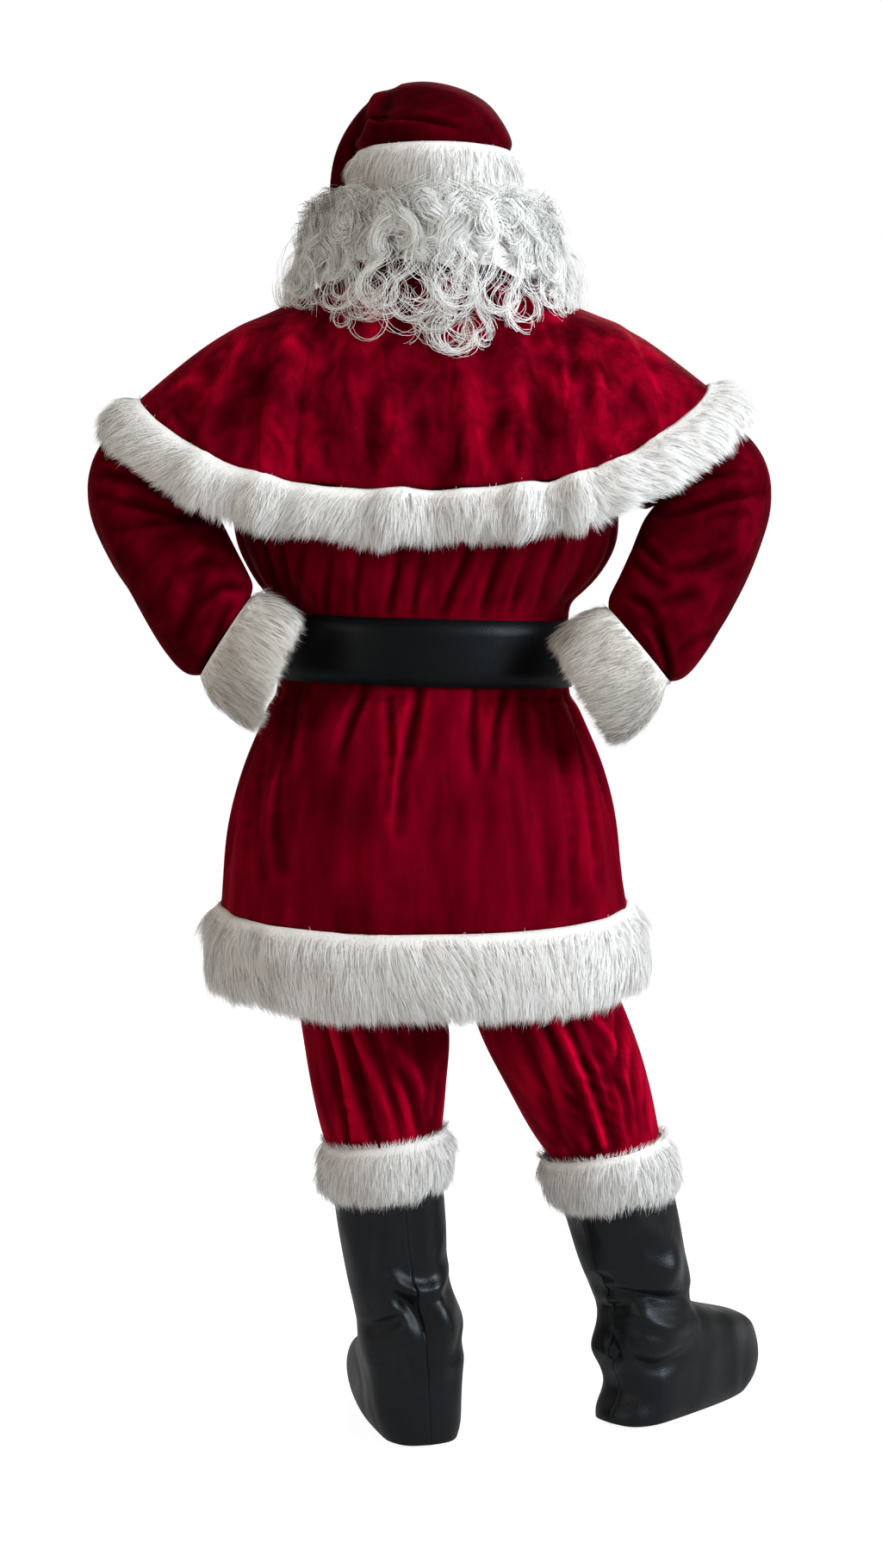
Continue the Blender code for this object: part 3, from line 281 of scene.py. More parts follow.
def along_path(path):
    """Run a smooth line through a crease's own points."""
    stops = np.array(path, float)
    ends = np.vstack([2 * stops[0] - stops[1], stops, 2 * stops[-1] - stops[-2]])
    line = []
    for first in range(len(stops) - 1):
        before, start, end, after = ends[first:first + 4]
        for share in np.linspace(0.0, 1.0, PATH_STEPS, endpoint=False):
            line.append(0.5 * (2 * start + (end - before) * share
                               + (2 * before - 5 * start + 4 * end - after) * share ** 2
                               + (3 * start - before - 3 * end + after) * share ** 3))
    return np.array(line + [stops[-1]])


def press(mesh, side, pressed, strength=CLOTH_PRESS):
    """Press creases into the cloth that faces one side; a negative depth is a trough.

    Each runs between two low lips and fades out at its ends.
    """
    points = points_of(mesh)
    normals = normals_of(mesh)
    flat = points[:, (1, 2)] if side[0] else points[:, (0, 1)] if side[2] else points[:, (0, 2)]
    facing = np.clip(normals @ np.array(side), 0.0, 1.0) ** SIDE_FADE
    push = np.zeros(len(points))
    for crease in pressed:
        line = along_path(crease.path)
        gaps = lengths(flat[:, None, :] - line[None, :, :])
        nearest = gaps.argmin(axis=1)
        off = gaps[np.arange(len(points)), nearest] / crease.width
        share = nearest / (len(line) - 1)
        inside = CREASE_ENDS + (1.0 - 2 * CREASE_ENDS) * share
        fade = np.sqrt(np.clip(np.sin(pi * inside), 0.0, 1.0))
        push += (strength * crease.depth * fade * (1.0 - CREASE_LIPS * off ** 2)
                 * np.exp(-CREASE_FALL * off ** 2))
    set_points(mesh, points + normals * (push * facing)[:, None])


def creased(node, levels, *presses):
    """Lay a sheet on the outer face of a solid wall, and press creases into its sides."""
    mesh = rounded(outer_face(node), levels)
    for side, *pressed in presses:
        press(mesh, side, *pressed)
    return mesh


def bends(mesh, first, second):
    """How far a mesh bends at each point: above nought on ridges, below it in troughs."""
    points = points_of(mesh)
    normals = normals_of(mesh)

    def total(ends, shares=None):
        """Add up shares at each point."""
        return np.bincount(ends, shares, minlength=len(points))

    count = np.maximum(total(first) + total(second), 1)
    span = np.zeros(len(points))
    bend = np.zeros(len(points))
    for here, there in ((first, second), (second, first)):
        step = points[there] - points[here]
        span += total(here, lengths(step))
        bend += total(here, -(step * normals[here]).sum(axis=1))
    bend = bend / np.maximum(span / count, SHORTEST) ** 2 / count
    corners = rows_of(mesh.loops, "edge_index", 1, int).ravel()
    outline = np.bincount(corners, minlength=len(mesh.edges)) == 1
    bend[first[outline]] = 0.0
    bend[second[outline]] = 0.0
    for _ in range(BEND_SPREADS):
        spread = total(first, bend[second]) + total(second, bend[first])
        bend = 0.5 * bend + 0.5 * spread / count
    return bend


def paint_fold_shading(mesh, strength):
    """Paint the light and shade of each fold as a colour, lighter on ridges and darker in troughs,
    from the pressed creases more than the form itself.
    """
    first, second = rows_of(mesh.edges, "vertices", 2, int).T
    bend = bends(mesh, first, second)
    pressed = points_of(mesh)
    set_points(mesh, rows_of(mesh.attributes["plain_place"].data, "vector"))
    bend -= FORM_SHARE * bends(mesh, first, second)
    set_points(mesh, pressed)
    mesh.attributes.remove(mesh.attributes["plain_place"])
    # painted light and shade: the grey is lighter where the cloth bends out on a ridge and darker
    # where it bends in to a trough
    level = np.clip(0.5 + strength * FOLD_LIGHT * (bend - np.median(bend)), 0.02, 0.98)
    shades = np.ones((len(pressed), 4))
    shades[:, :3] = level[:, None]
    mesh.color_attributes.new("fold_light_and_shade", "FLOAT_COLOR", "POINT").data.foreach_set(
        "color", shades.ravel())


def sewn(name, mesh, material, node, thickness=VELVET_THICKNESS, painted_fold_shading=1.0):
    """Finish a cut piece: its edges get the cloth's thickness, and it takes its solid's place."""
    mesh.name = name
    for face in mesh.polygons:
        face.use_smooth = True
    mesh.materials.clear()
    mesh.materials.append(material)
    paint_fold_shading(mesh, painted_fold_shading)
    piece = placed(name, mesh)
    edge = piece.modifiers.new("cloth_edge", "SOLIDIFY")
    edge.thickness = thickness
    edge.offset = -1.0
    edge.use_rim_only = True
    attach(piece, "root")
    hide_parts(node)
    return piece


def noise(tree, source, scale, detail=3.0, stretch=(1.0, 1.0, 1.0), distortion=0.0, lean=0.0):
    """Cloudy noise over a piece, stretched along its axes, which may lean about the front axis."""
    place = added(tree, "Mapping")
    place.vector_type = "TEXTURE"
    dial(place, {"Vector": source, "Scale": tuple(1.0 / part for part in stretch),
                 "Rotation": (0.0, radians(lean), 0.0)})
    return added(tree, "TexNoise", {"Vector": place.outputs["Vector"], "Scale": scale,
                                    "Detail": detail, "Distortion": distortion}).outputs["Fac"]


def ramp(tree, source, *stops):
    """Turn a value into colours, from (position, colour) or (position, grey) stops."""
    band = added(tree, "ValToRGB", {"Fac": source})
    marks = band.color_ramp.elements
    while len(marks) < len(stops):
        marks.new(0.5)
    for mark, (position, colour) in zip(marks, stops):
        mark.position = position
        mark.color = (*(colour if isinstance(colour, tuple) else (colour,) * 3), 1.0)
    return band.outputs["Color"]


def blended(tree, kind, share, first, second):
    """Mix two colours or values by a share; the second may be a plain colour."""
    mix = added(tree, "Mix")
    mix.data_type = "RGBA"
    mix.blend_type = kind
    dial(mix, {0: share, 6: first, 7: (*second, 1.0) if isinstance(second, tuple) else second})
    return mix.outputs[2]


def bump(tree, height, strength, distance, under=None):
    """Raise a surface by a height, over another bump if there is one."""
    settings = {"Height": height, "Strength": strength, "Distance": distance}
    if under is not None:
        settings["Normal"] = under
    return added(tree, "Bump", settings).outputs["Normal"]


def crushed_velvet(name, streak, contrast, depth, drape, draped, patch=9.0):
    """Crimson crushed velvet: patches and streaks of nap, small drapes, and red sheen, with painted
    shade in the drapes' troughs and a painted highlight beside them.

    drape is how many small drapes lie side by side in a metre, their stretch and their lean, and
    draped how much they show. depth scales the whole colour and the sheen's tint, so that each
    piece's copy is painted lighter or darker for the light that falls on it.
    """
    made, tree, shader, at = blank(name)
    number, stretch, lean = drape
    patches = noise(tree, at, patch, 6.0, (1.0, 1.0, 0.6), 0.9)
    streaks = noise(tree, at, 38.0, 4.0, streak, 0.4, lean)
    crushed = blended(tree, "MIX", 0.42, patches, streaks)
    nap = ramp(tree, crushed, (0.34, 0.5 - 0.5 * contrast), (0.66, 0.5 + 0.5 * contrast))
    # the folds' painted light and shade, laid over the nap's patches and streaks
    painted_fold_shading = added(tree, "Attribute")
    painted_fold_shading.attribute_name = "fold_light_and_shade"
    nap_and_painted_light = blended(tree, "OVERLAY", 1.0, painted_fold_shading.outputs["Color"], nap)
    wave = noise(tree, at, number, 2.0, (1.0, 1.0, stretch), 0.35, lean)
    drape_relief_and_painted_shade = ramp(tree, wave, *DRAPE_RELIEF_AND_PAINTED_SHADE)
    # painted shade in the drapes' troughs and a painted highlight beside them, multiplied into the
    # colour
    nap_and_painted_light = blended(tree, "MIX", draped, nap_and_painted_light, blended(tree, "MULTIPLY", 1.0, nap_and_painted_light, drape_relief_and_painted_shade))
    # depth paints this piece's copy of the velvet lighter or darker, as painted light and shade
    colour = ramp(tree, nap_and_painted_light, *((level, tuple(depth * part for part in shade))
                               for level, shade in VELVET_SHADES))
    fine = blended(tree, "MIX", 0.5, streaks, noise(tree, at, 300.0, 2.0))
    height = blended(tree, "MIX", 0.2, drape_relief_and_painted_shade, fine)
    dial(shader, {"Base Color": colour, "Roughness": 0.62, "Specular IOR Level": 0.01,
                  "Specular Tint": (1.0, 0.02, 0.10, 1.0), "Sheen Weight": 0.30,
                  "Sheen Roughness": 0.35, "Sheen Tint": (depth, 0.002 * depth, 0.050 * depth, 1.0),
                  "Normal": bump(tree, height, 0.6, 0.009 * draped)})
    return made


# depth paints the coat's copy of the velvet a little lighter, for the light on it
COAT_VELVET = crushed_velvet("coat_velvet", streak=(1.0, 1.0, 0.22), contrast=0.32, depth=1.08,
                             drape=(9.0, 0.14, 0.0), draped=0.17, patch=7.0)
BACK_CREASES = creases(
    (9, -8.5, -3, -524, -13, -582, -24, -642, -29, -708), (7, -5, -43, -544, -40, -615, -45, -680),
    (8, -6, -70, -522, -92, -571, -107, -620), (8, -4.5, -160, -525, -171, -593, -174, -669),
    (12, -8, -179, -555, -187, -636, -190, -702, -183, -757),
    (9, -5, -207, -615, -216, -691, -208, -768), (8, -4, -226, -669, -231, -746),
    (7, -3.5, 69, -527, 64, -582, 66, -636), (8, -4.5, 109, -527, 95, -582, 89, -636),
    (10, -3.5, 130, -527, 133, -604, 140, -691),
    (9, -6, 193, -544, 211, -615, 223, -702, 229, -779),
    (9, -4.5, 169, -549, 182, -636, 193, -724, 199, -801),
    (13, -3, 148, -640, 158, -730, 166, -830), (13, -3, -142, -610, -152, -710, -160, -830),
    (14, -2.5, -80, -660, -86, -740, -80, -830), (14, -2.5, 80, -640, 78, -730, 70, -830),
    (13, -2.5, 112, -680, 122, -760, 128, -830), (10, -3, 20, -640, 14, -720, 22, -800),
    (8, -6.5, -22, -333, -32, -382, -42, -433), (6, -4.5, 8, -338, -3, -387, -13, -435),
    (8, -7.5, 68, -335, 50, -382, 27, -433), (8, -6.5, 109, -333, 92, -382, 77, -435),
    (7, -5, 142, -354, 125, -398, 115, -435), (9, -6.5, 180, -333, 164, -382, 151, -435),
    (8, -5, -151, -343, -160, -387, -165, -433), (8, -7, -188, -327, -181, -376, -169, -426),
    (7, -5, -208, -338, -195, -387, -178, -431), (6, -3.5, -115, -354, -123, -409, -125, -433),
    (6, -3.5, -77, -354, -84, -398, -86, -433), (8, -5, 219, -338, 205, -382, 181, -420))
FRONT_CREASES = creases(
    (8, -6, -150, -330, -128, -385, -112, -432), (7, -4.5, -104, -345, -90, -392, -78, -434),
    (8, -5.5, 96, -338, 84, -390, 66, -433), (8, -6, 146, -322, 134, -378, 118, -431),
    (9, -5, -188, -305, -176, -360, -158, -420), (9, -4.5, 190, -310, 178, -364, 164, -424),
    (10, -7, -60, -530, -70, -610, -85, -700, -82, -780),
    (9, -5.5, -118, -532, -136, -600, -150, -690), (9, -4.5, -170, -560, -190, -650, -198, -745),
    (10, -6.5, 58, -528, 72, -600, 76, -680, 90, -770), (9, -5, 112, -530, 128, -610, 136, -705),
    (9, -4.5, 168, -552, 188, -640, 206, -752), (7, -3, -30, -540, -34, -620),
    (8, -3.5, 28, -610, 36, -700))
SIDE_CREASES = creases(
    (9, -5.5, 36, -325, 20, -380, 12, -430), (8, -4.5, -50, -330, -38, -384, -34, -428),
    (10, -6, 22, -535, 34, -620, 30, -720), (9, -5, -36, -540, -52, -640, -48, -760),
    (9, -4.5, 82, -560, 94, -660, 88, -770))

# the last number in each row is how strongly light and shade are painted on that panel's folds
for node, flat, area, painted_fold_shading in (("coat_back", (0.68, 0.52), 0.28, 0.6),
                                ("coat_back_skirt", (0.84, 0.35), 0.255, 0.9)):
    back = creased(node, 3, (BACK, BACK_CREASES), (LEFT, SIDE_CREASES), (RIGHT, SIDE_CREASES))
    back = sewn(node + "_panel", back, COAT_VELVET, node, painted_fold_shading=painted_fold_shading)

for side, outside in (("left", LEFT), ("right", RIGHT)):
    front = creased("coat_front_" + side, 2, (FRONT, FRONT_CREASES), (outside, SIDE_CREASES))
    front = sewn("coat_front_panel_" + side, front, COAT_VELVET, "coat_front_" + side)


# Hem band: a wide strip of long white faux fur sewn round the skirt's edge. A lumpy backing
# follows the solid's outer face a little inside it, and combed strands in clumps grow from it
# down to ragged tips below its edge.

FUR_BACKING = 0.0020
FUR_ROOT_DEPTH = 0.0065
FUR_TUCK = 0.0022
FUR_TUCK_REACH = 0.012
FUR_RUFFLE_REACH = 0.009
FUR_SEAM_REACH = 0.04
FUR_CORNER = 0.35
FUR_EDGE_SHARE = 0.12
FUR_SWIRL_CLUMPS = 50
FUR_SWIRL_SIZES = (0.03, 0.09)
FUR_SWIRL_PUSH = 0.30
FUR_GATHER = (0.10, 0.50)
FUR_LENGTHS = (0.72, 1.12)
FUR_HANGS = (0.1, 1.0)
FUR_RISES = (0.4, 1.35)
FUR_LEAN = 0.15
FUR_RAGGED = 0.22
FUR_STRETCH = 1.15
FUR_WIDTH = 0.00036
STRAND_WIDTHS = (0.7, 1.3)
STRAND_INSET = 0.0015
STRAND_WAVE = 0.05
STRAND_ARCH = 0.07
LUMP_SIZES = (0.012, 0.028)
LUMP_HEIGHTS = (-0.0045, 0.0040)
STRANDS_IN_CLUMP = 14
UNDERFUR_WIDTH = 0.00038
UNDERFUR_TIMES = 4
FAR_AWAY = 1.0


def strand_places(tree):
    """Read which strand of fur or hair a place is on, and how far along it."""
    strand = added(tree, "UVMap")
    strand.uv_map = "strand"
    split = added(tree, "SeparateXYZ", {"Vector": strand.outputs["UV"]})
    return split.outputs["X"], split.outputs["Y"]


def long_fur(name, tone):
    """Synthetic fur: warm grey at the roots as painted shade deep in the pile, brighter to the
    tips, and darkened by a tint, which is painted shade on the cuffs.
    """
    made, tree, shader, at = blank(name)
    which, along = strand_places(tree)
    # painted shade: the roots are greyer, as if shaded deep in the pile
    along = ramp(tree, along, (0.0, (0.90, 0.89, 0.87)), (0.30, (0.965, 0.96, 0.95)),
                 (0.8, (0.985, 0.985, 0.98)))
    each = ramp(tree, which, (0.0, (0.93, 0.92, 0.905)), (0.4, (0.985, 0.98, 0.975)), (1.0, 1.0))
    tufts = ramp(tree, noise(tree, at, 34.0, 3.0), (0.30, (0.92, 0.905, 0.88)), (0.60, 1.0))
    colour = blended(tree, "MULTIPLY", 0.8, blended(tree, "MULTIPLY", 1.0, along, each), tufts)
    # the tint multiplies the whole fur: white for the long fur, darker and warmer as painted shade
    # on the cuffs
    dial(shader, {"Base Color": blended(tree, "MULTIPLY", 1.0, colour, tone), "Roughness": 0.62,
                  "Specular IOR Level": 0.25, "Sheen Weight": 0.25, "Sheen Roughness": 0.5})
    return made


def fur_backing(name):
    """Knitted backing and underfur, seen only between the strands."""
    made, tree, shader, at = blank(name)
    knit = noise(tree, at, 260.0, 2.0)
    mottled = blended(tree, "MIX", 0.5, knit, noise(tree, at, 40.0, 3.0))
    colour = ramp(tree, mottled, (0.35, (0.80, 0.785, 0.76)), (0.65, (0.93, 0.925, 0.91)))
    dial(shader, {"Base Color": colour, "Roughness": 0.9, "Specular IOR Level": 0.1,
                  "Normal": bump(tree, knit, 0.6, 0.0015)})
    return made


LONG_FUR = long_fur("long_fur", (1.0, 1.0, 1.0))
# the cuffs' fur is tinted darker and warmer: painted shade
SHADED_CUFF_FUR = long_fur("cuff_fur", (0.84, 0.81, 0.77))
FUR_BACK = fur_backing("fur_backing")


def unit(rows):
    """Scale rows of vectors to length one."""
    return rows / np.maximum(np.linalg.norm(rows, axis=-1, keepdims=True), 1e-9)


def ribbons(name, lines, halves, facing, shade, material):
    """Join many thin ribbons in one mesh: each follows a line and ends in a point.

    lines is strands x points x 3, halves the half widths across, and facing the shading normals.
    """
    count, stops = lines.shape[:2]
    per = 2 * stops - 1
    points = np.empty((count, per, 3))
    points[:, 0:per - 1:2] = (lines - halves)[:, :-1]
    points[:, 1:per - 1:2] = (lines + halves)[:, :-1]
    points[:, -1] = lines[:, -1]
    normals = np.repeat(facing, 2, axis=1)[:, :per]
    along = np.repeat(np.linspace(0.0, 1.0, stops), 2)[:per]
    quads = [(2 * step, 2 * step + 1, 2 * step + 3, 2 * step + 2) for step in range(stops - 2)]
    corners = np.append(np.array(quads, int).ravel(), (per - 3, per - 2, per - 1))
    starts = np.append(np.arange(stops - 2) * 4, (stops - 2) * 4)
    firsts = np.arange(count)[:, None]
    mesh = bpy.data.meshes.new(name)
    mesh.vertices.add(count * per)
    mesh.vertices.foreach_set("co", points.ravel())
    mesh.loops.add(count * len(corners))
    mesh.loops.foreach_set("vertex_index", (firsts * per + corners).ravel())
    mesh.polygons.add(count * len(starts))
    mesh.polygons.foreach_set("loop_start", (firsts * len(corners) + starts).ravel())
    mesh.update(calc_edges=True)
    uv = np.empty((count, len(corners), 2))
    uv[:, :, 0] = shade[:, None]
    uv[:, :, 1] = along[corners]
    mesh.uv_layers.new(name="strand").data.foreach_set("uv", uv.ravel())
    mesh.polygons.foreach_set("use_smooth", np.ones(count * len(starts), bool))
    mesh.normals_split_custom_set_from_vertices(unit(normals.reshape(-1, 3)))
    mesh.materials.append(material)
    piece = placed(name, mesh)
    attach(piece, "root")
    return piece


def straight_down(rows):
    """Comb fur down."""
    return np.tile((0.0, 0.0, -1.0), (len(rows), 1))


def tree_of(points):
    """Index points, so that the nearest one is found fast."""
    tree = kdtree.KDTree(len(points))
    for place, point in enumerate(points):
        tree.insert(point, place)
    tree.balance()
    return tree


def edge_trees(mesh, comb):
    """Find the edges that fur is combed from and towards, each as a tree of its points."""
    bm = bmesh.new()
    bm.from_mesh(mesh)
    places, ways = [], []
    for edge in bm.edges:
        if edge.is_boundary:
            start, end = (vert.co for vert in edge.verts)
            inside = edge.link_faces[0].calc_center_median()
            for share in (0.0, 0.25, 0.5, 0.75):
                places.append(tuple(start.lerp(end, share)))
                ways.append(tuple((start + end) / 2 - inside))
    bm.free()
    if not places:
        return None, None
    places = np.array(places)
    ahead = (unit(np.array(ways)) * comb(places)).sum(axis=1)
    return [tree_of(chosen) if len(chosen) else None
            for chosen in (places[ahead < -0.3], places[ahead > 0.3])]


def distances(tree, rows):
    """How far rows of points lie from a tree's, or far away where there is no tree."""
    if tree is None:
        return np.full(len(rows), FAR_AWAY)
    return np.array([tree.find(row)[2] for row in rows])


def backing(node, rim, lumps, seed, comb=straight_down, depth=FUR_ROOT_DEPTH):
    """The backing of a fur band: the solid's outer face, drawn in, with soft lumps of its own."""
    mesh = rounded(outer_face(node, rim, FUR_CORNER), 2)
    chance = np.random.default_rng(seed)
    points = points_of(mesh)
    drop = np.full(len(points), -depth)
    for _ in range(lumps):
        centre = points[chance.integers(len(points))]
        spread = chance.uniform(*LUMP_SIZES)
        height = chance.uniform(*LUMP_HEIGHTS)
        drop += height * np.exp(-((points - centre) ** 2).sum(axis=1) / spread ** 2)
    drop = np.clip(drop, -1.8 * depth, -0.3 * depth)
    gaps = distances(edge_trees(mesh, comb)[0], points)
    drop -= FUR_TUCK * np.clip(1.0 - gaps / FUR_TUCK_REACH, 0.0, 1.0)
    combed = comb(points)
    shift = normals_of(mesh) * drop[:, None]
    along = np.maximum((shift * combed).sum(axis=1), 0.0)
    set_points(mesh, points + shift - along[:, None] * combed)
    return mesh


def scattered(mesh, count, chance):
    """Scatter roots evenly over a mesh, with the way that it faces at each."""
    points = points_of(mesh)
    outward = normals_of(mesh)
    mesh.calc_loop_triangles()
    corners = rows_of(mesh.loop_triangles, "vertices", 3, int)
    a, b, c = (points[corners[:, turn]] for turn in range(3))
    area = lengths(np.cross(b - a, c - a))
    chosen = chance.choice(len(corners), count, p=area / area.sum())
    u, v = chance.random((2, count, 1))
    over = u + v > 1.0
    u, v = np.where(over, 1.0 - u, u), np.where(over, 1.0 - v, v)
    roots = a[chosen] + u * (b - a)[chosen] + v * (c - a)[chosen]
    normals = sum(outward[corners[chosen, turn]] * share
                  for turn, share in ((0, 1.0 - u - v), (1, u), (2, v)))
    return roots, unit(normals)


Pelt = namedtuple("Pelt", "length hang lift ruffle")


def combed_out(roots, normals, comb, swirls, edges, pelt, chance):
    """Find the tips of strands: combed along, lifted, and ruffled back at the sewn edge."""
    count = len(roots)
    combed = comb(roots)
    for centre, spread, push in swirls:
        near_it = np.exp(-((roots - centre) ** 2).sum(axis=1) / spread ** 2)
        combed = combed + near_it[:, None] * push
    near, far = edges
    beyond = np.full(count, 1.25 * pelt.length) if far is None else distances(far, roots)
    reach = beyond + pelt.hang * chance.uniform(*FUR_HANGS, count)
    long = np.minimum(pelt.length * chance.uniform(*FUR_LENGTHS, count), reach)[:, None]
    edge = np.clip(1.0 - distances(near, roots) / FUR_RUFFLE_REACH, 0.0, 1.0)
    ruffled = (chance.random(count) < 0.6 * pelt.ruffle * edge)[:, None]
    ragged = 0.8 * normals - pelt.ruffle * combed + chance.normal(0.0, FUR_RAGGED, (count, 3))
    flat = combed - 0.9 * normals * (combed * normals).sum(axis=1, keepdims=True)
    combed = unit(np.where(ruffled, ragged, flat))
    long = long * np.where(ruffled, 0.16 + 0.26 * pelt.ruffle, 1.0)
    across = unit(np.cross(combed, normals))
    lean = chance.normal(0.0, FUR_LEAN, (count, 1))
    rise = pelt.lift * chance.uniform(*FUR_RISES, (count, 1))
    return roots + long * (combed + lean * across + rise * normals), across, long, ruffled


def grow(name, mesh, count, clumps, comb, pelt, seed, material, width, stops):
    """Grow a layer of strands from a backing, in clumps that end in points at uneven lengths."""
    style = np.random.default_rng(seed)
    chance = np.random.default_rng(seed + 1000 * stops)
    edges = edge_trees(mesh, comb)
    middles, facing = scattered(mesh, clumps, style)
    swirls = [(middles[style.integers(clumps)], style.uniform(*FUR_SWIRL_SIZES),
               style.normal(0.0, FUR_SWIRL_PUSH, 3)) for _ in range(clumps // FUR_SWIRL_CLUMPS)]
    points, _, _, loose = combed_out(middles, facing, comb, swirls, edges, pelt, style)
    roots, normals = scattered(mesh, count, chance)
    if edges[0]:
        seam = np.array([edges[0].find(root)[0] for root in roots])
        pull = chance.uniform(0.80, 1.0, count) * (chance.random(count) < FUR_EDGE_SHARE)
        pull *= lengths(seam - roots) < FUR_SEAM_REACH
        roots = roots + (seam - roots) * pull[:, None]
    tips, across, long, ruffled = combed_out(roots, normals, comb, swirls, edges, pelt, chance)
    tree = tree_of(middles)
    nearest = np.array([tree.find(root)[1] for root in roots])
    gather = chance.uniform(*FUR_GATHER, (count, 1))
    gather = gather * np.where(ruffled | loose[nearest], 0.0, 1.0)
    ends = tips * (1.0 - gather) + points[nearest] * gather
    stretch = lengths(ends - roots)[:, None]
    shorter = np.minimum(1.0, FUR_STRETCH * long / np.maximum(stretch, SHORTEST))
    ends = roots + (ends - roots) * shorter
    turn = chance.uniform(-0.9, 0.9, (count, 1))
    half = chance.uniform(*STRAND_WIDTHS, (count, 1))
    half = width * half * (across * np.cos(turn) + normals * np.sin(turn))
    facing = normals + 0.06 * across * chance.normal(0.0, 1.0, (count, 1))
    lines = [roots - STRAND_INSET * normals, ends]
    halves = [half, 0.0 * half]
    faces = [facing, facing + 0.20 * unit(ends - roots)]
    if stops == 3:
        wave = chance.normal(0.0, STRAND_WAVE, (count, 1))
        bow = long * (STRAND_ARCH * normals + wave * across)
        lines.insert(1, 0.5 * (roots + ends) + bow)
        halves.insert(1, 0.8 * half)
        faces.insert(1, facing)
    lines, halves, faces = (np.stack(rows, axis=1) for rows in (lines, halves, faces))
    return ribbons(name, lines, halves, faces, chance.random(count), material)


def fur(name, node, mesh, count, comb, pelt, seed, material):
    """Grow bent guard hairs, and several times as many fine straight ones between them."""
    short = pelt._replace(length=0.86 * pelt.length, hang=0.8 * pelt.hang, lift=0.6 * pelt.lift)
    clumps = count // STRANDS_IN_CLUMP
    strands = [grow(name, mesh, count, clumps, comb, pelt, seed, material, FUR_WIDTH, 3),
               grow(name + "_under", mesh, UNDERFUR_TIMES * count, clumps, comb, short, seed,
                    material, UNDERFUR_WIDTH, 2)]
    for piece in strands:
        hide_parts(node)
    return strands


def fur_band(name, node, rim, lumps, seed, count, pelt, comb=straight_down,
             material=LONG_FUR, depth=FUR_ROOT_DEPTH, waves=()):
    """Sew a fur band: its backing, with the waves of its cloth, and the strands that grow on it."""
    mesh = backing(node, rim, lumps, seed, comb, depth)
    for side in (BACK, FRONT):
        press(mesh, side, waves)
    strands = fur(name, node, mesh, count, comb, pelt, seed + 1, material)
    band = sewn(name + "_backing", mesh, FUR_BACK, node, FUR_BACKING)


fur_band("hem_fur", "coat_hem_trim", rim=0.0125, lumps=90, seed=11, count=15500,
         pelt=Pelt(length=0.050, hang=0.024, lift=0.065, ruffle=0.02))


# Sleeves: one-piece velvet sleeves set into the armholes, bent at the elbow with the hands on
# the hips. Creases gather at the inside of the elbow and run out to its point.

# depth paints the sleeves' copy of the velvet much darker: painted shade
SLEEVE_VELVET = crushed_velvet("sleeve_velvet", streak=(0.7, 0.7, 0.7), contrast=0.50, depth=0.56,
                               drape=(13.0, 0.30, 35.0), draped=0.22)
LEFT_SLEEVE_CREASES = creases(
    (7, -5.5, -426, -280, -375, -291, -320, -304, -278, -310),
    (7, -4.5, -410, -332, -364, -321, -309, -314, -276, -315), (6, -3.5, -375, -310, -331, -312),
    (8, -3.5, -421, -254, -374, -258, -331, -272), (8, -3.5, -407, -228, -363, -245),
    (9, -4.5, -252, -371, -276, -365, -304, -382), (8, -4.5, -229, -398, -254, -398, -282, -420),
    (12, -4.5, -271, -354, -293, -420, -316, -481), (9, -3.5, -243, -420, -260, -465, -279, -503))
RIGHT_SLEEVE_CREASES = creases(
    (7, -5.5, 444, -280, 396, -283, 341, -300, 303, -310),
    (6, -3.5, 418, -300, 385, -305, 358, -310), (7, -4.5, 396, -250, 363, -258, 330, -272),
    (7, -3.5, 401, -234, 374, -239), (7, -5, 270, -335, 287, -354, 303, -371),
    (9, -5.5, 309, -376, 353, -371, 397, -354), (7, -4.5, 267, -365, 287, -385, 307, -398),
    (7, -4.5, 263, -409, 287, -426, 304, -454),
    (7, -5.5, 282, -437, 301, -465, 312, -498, 315, -520),
    (8, -3.5, 304, -420, 331, -412, 359, -409), (9, -3.5, 381, -454, 343, -470, 321, -487))
FRONT_SLEEVE_CREASES = creases(
    (8, -5, 420, -286, 372, -296, 318, -302, 280, -300), (7, -4.5, 404, -326, 352, -318, 300, -322),
    (8, -4, 392, -246, 348, -262, 306, -276), (8, -4.5, 272, -352, 306, -362, 352, -358),
    (9, -4, 262, -392, 290, -410, 312, -446), (9, -3.5, 350, -420, 326, -452, 300, -486))


def mirrored(pressed):
    """The same creases on the other arm."""
    return [crease._replace(path=[(-across, height) for across, height in crease.path])
            for crease in pressed]


for side, behind, before in (
        ("left", LEFT_SLEEVE_CREASES, mirrored(FRONT_SLEEVE_CREASES)),
        ("right", RIGHT_SLEEVE_CREASES, FRONT_SLEEVE_CREASES)):
    sleeve = creased("sleeve_" + side, 3, (BACK, behind), (FRONT, before))
    sleeve = sewn("velvet_sleeve_" + side, sleeve, SLEEVE_VELVET, "sleeve_" + side)


# Cuffs: deep rings of the same long fur, painted a little greyer and warmer as shade, sewn to the
# sleeve ends and combed towards the hand so that their tips stand over the edge.

def towards(vector):
    """Comb fur one way."""
    return lambda rows: np.tile(unit(np.array(vector)), (len(rows), 1))


for side, seed, hand_place in (("left", 31, (0.068, -0.016, -0.049)),
                               ("right", 41, (-0.073, -0.014, -0.065))):
    fur_band("cuff_fur_" + side, "cuff_" + side, rim=0.0115, lumps=24, seed=seed,
             count=4200, pelt=Pelt(length=0.040, hang=0.018, lift=0.13, ruffle=0.3),
             comb=towards(hand_place), material=SHADED_CUFF_FUR)


# Belt: a wide strap of black grained faux leather round the waist, over the coat, with its edges
# turned in. The rolled edges and the pebbled grain are part of the strap.

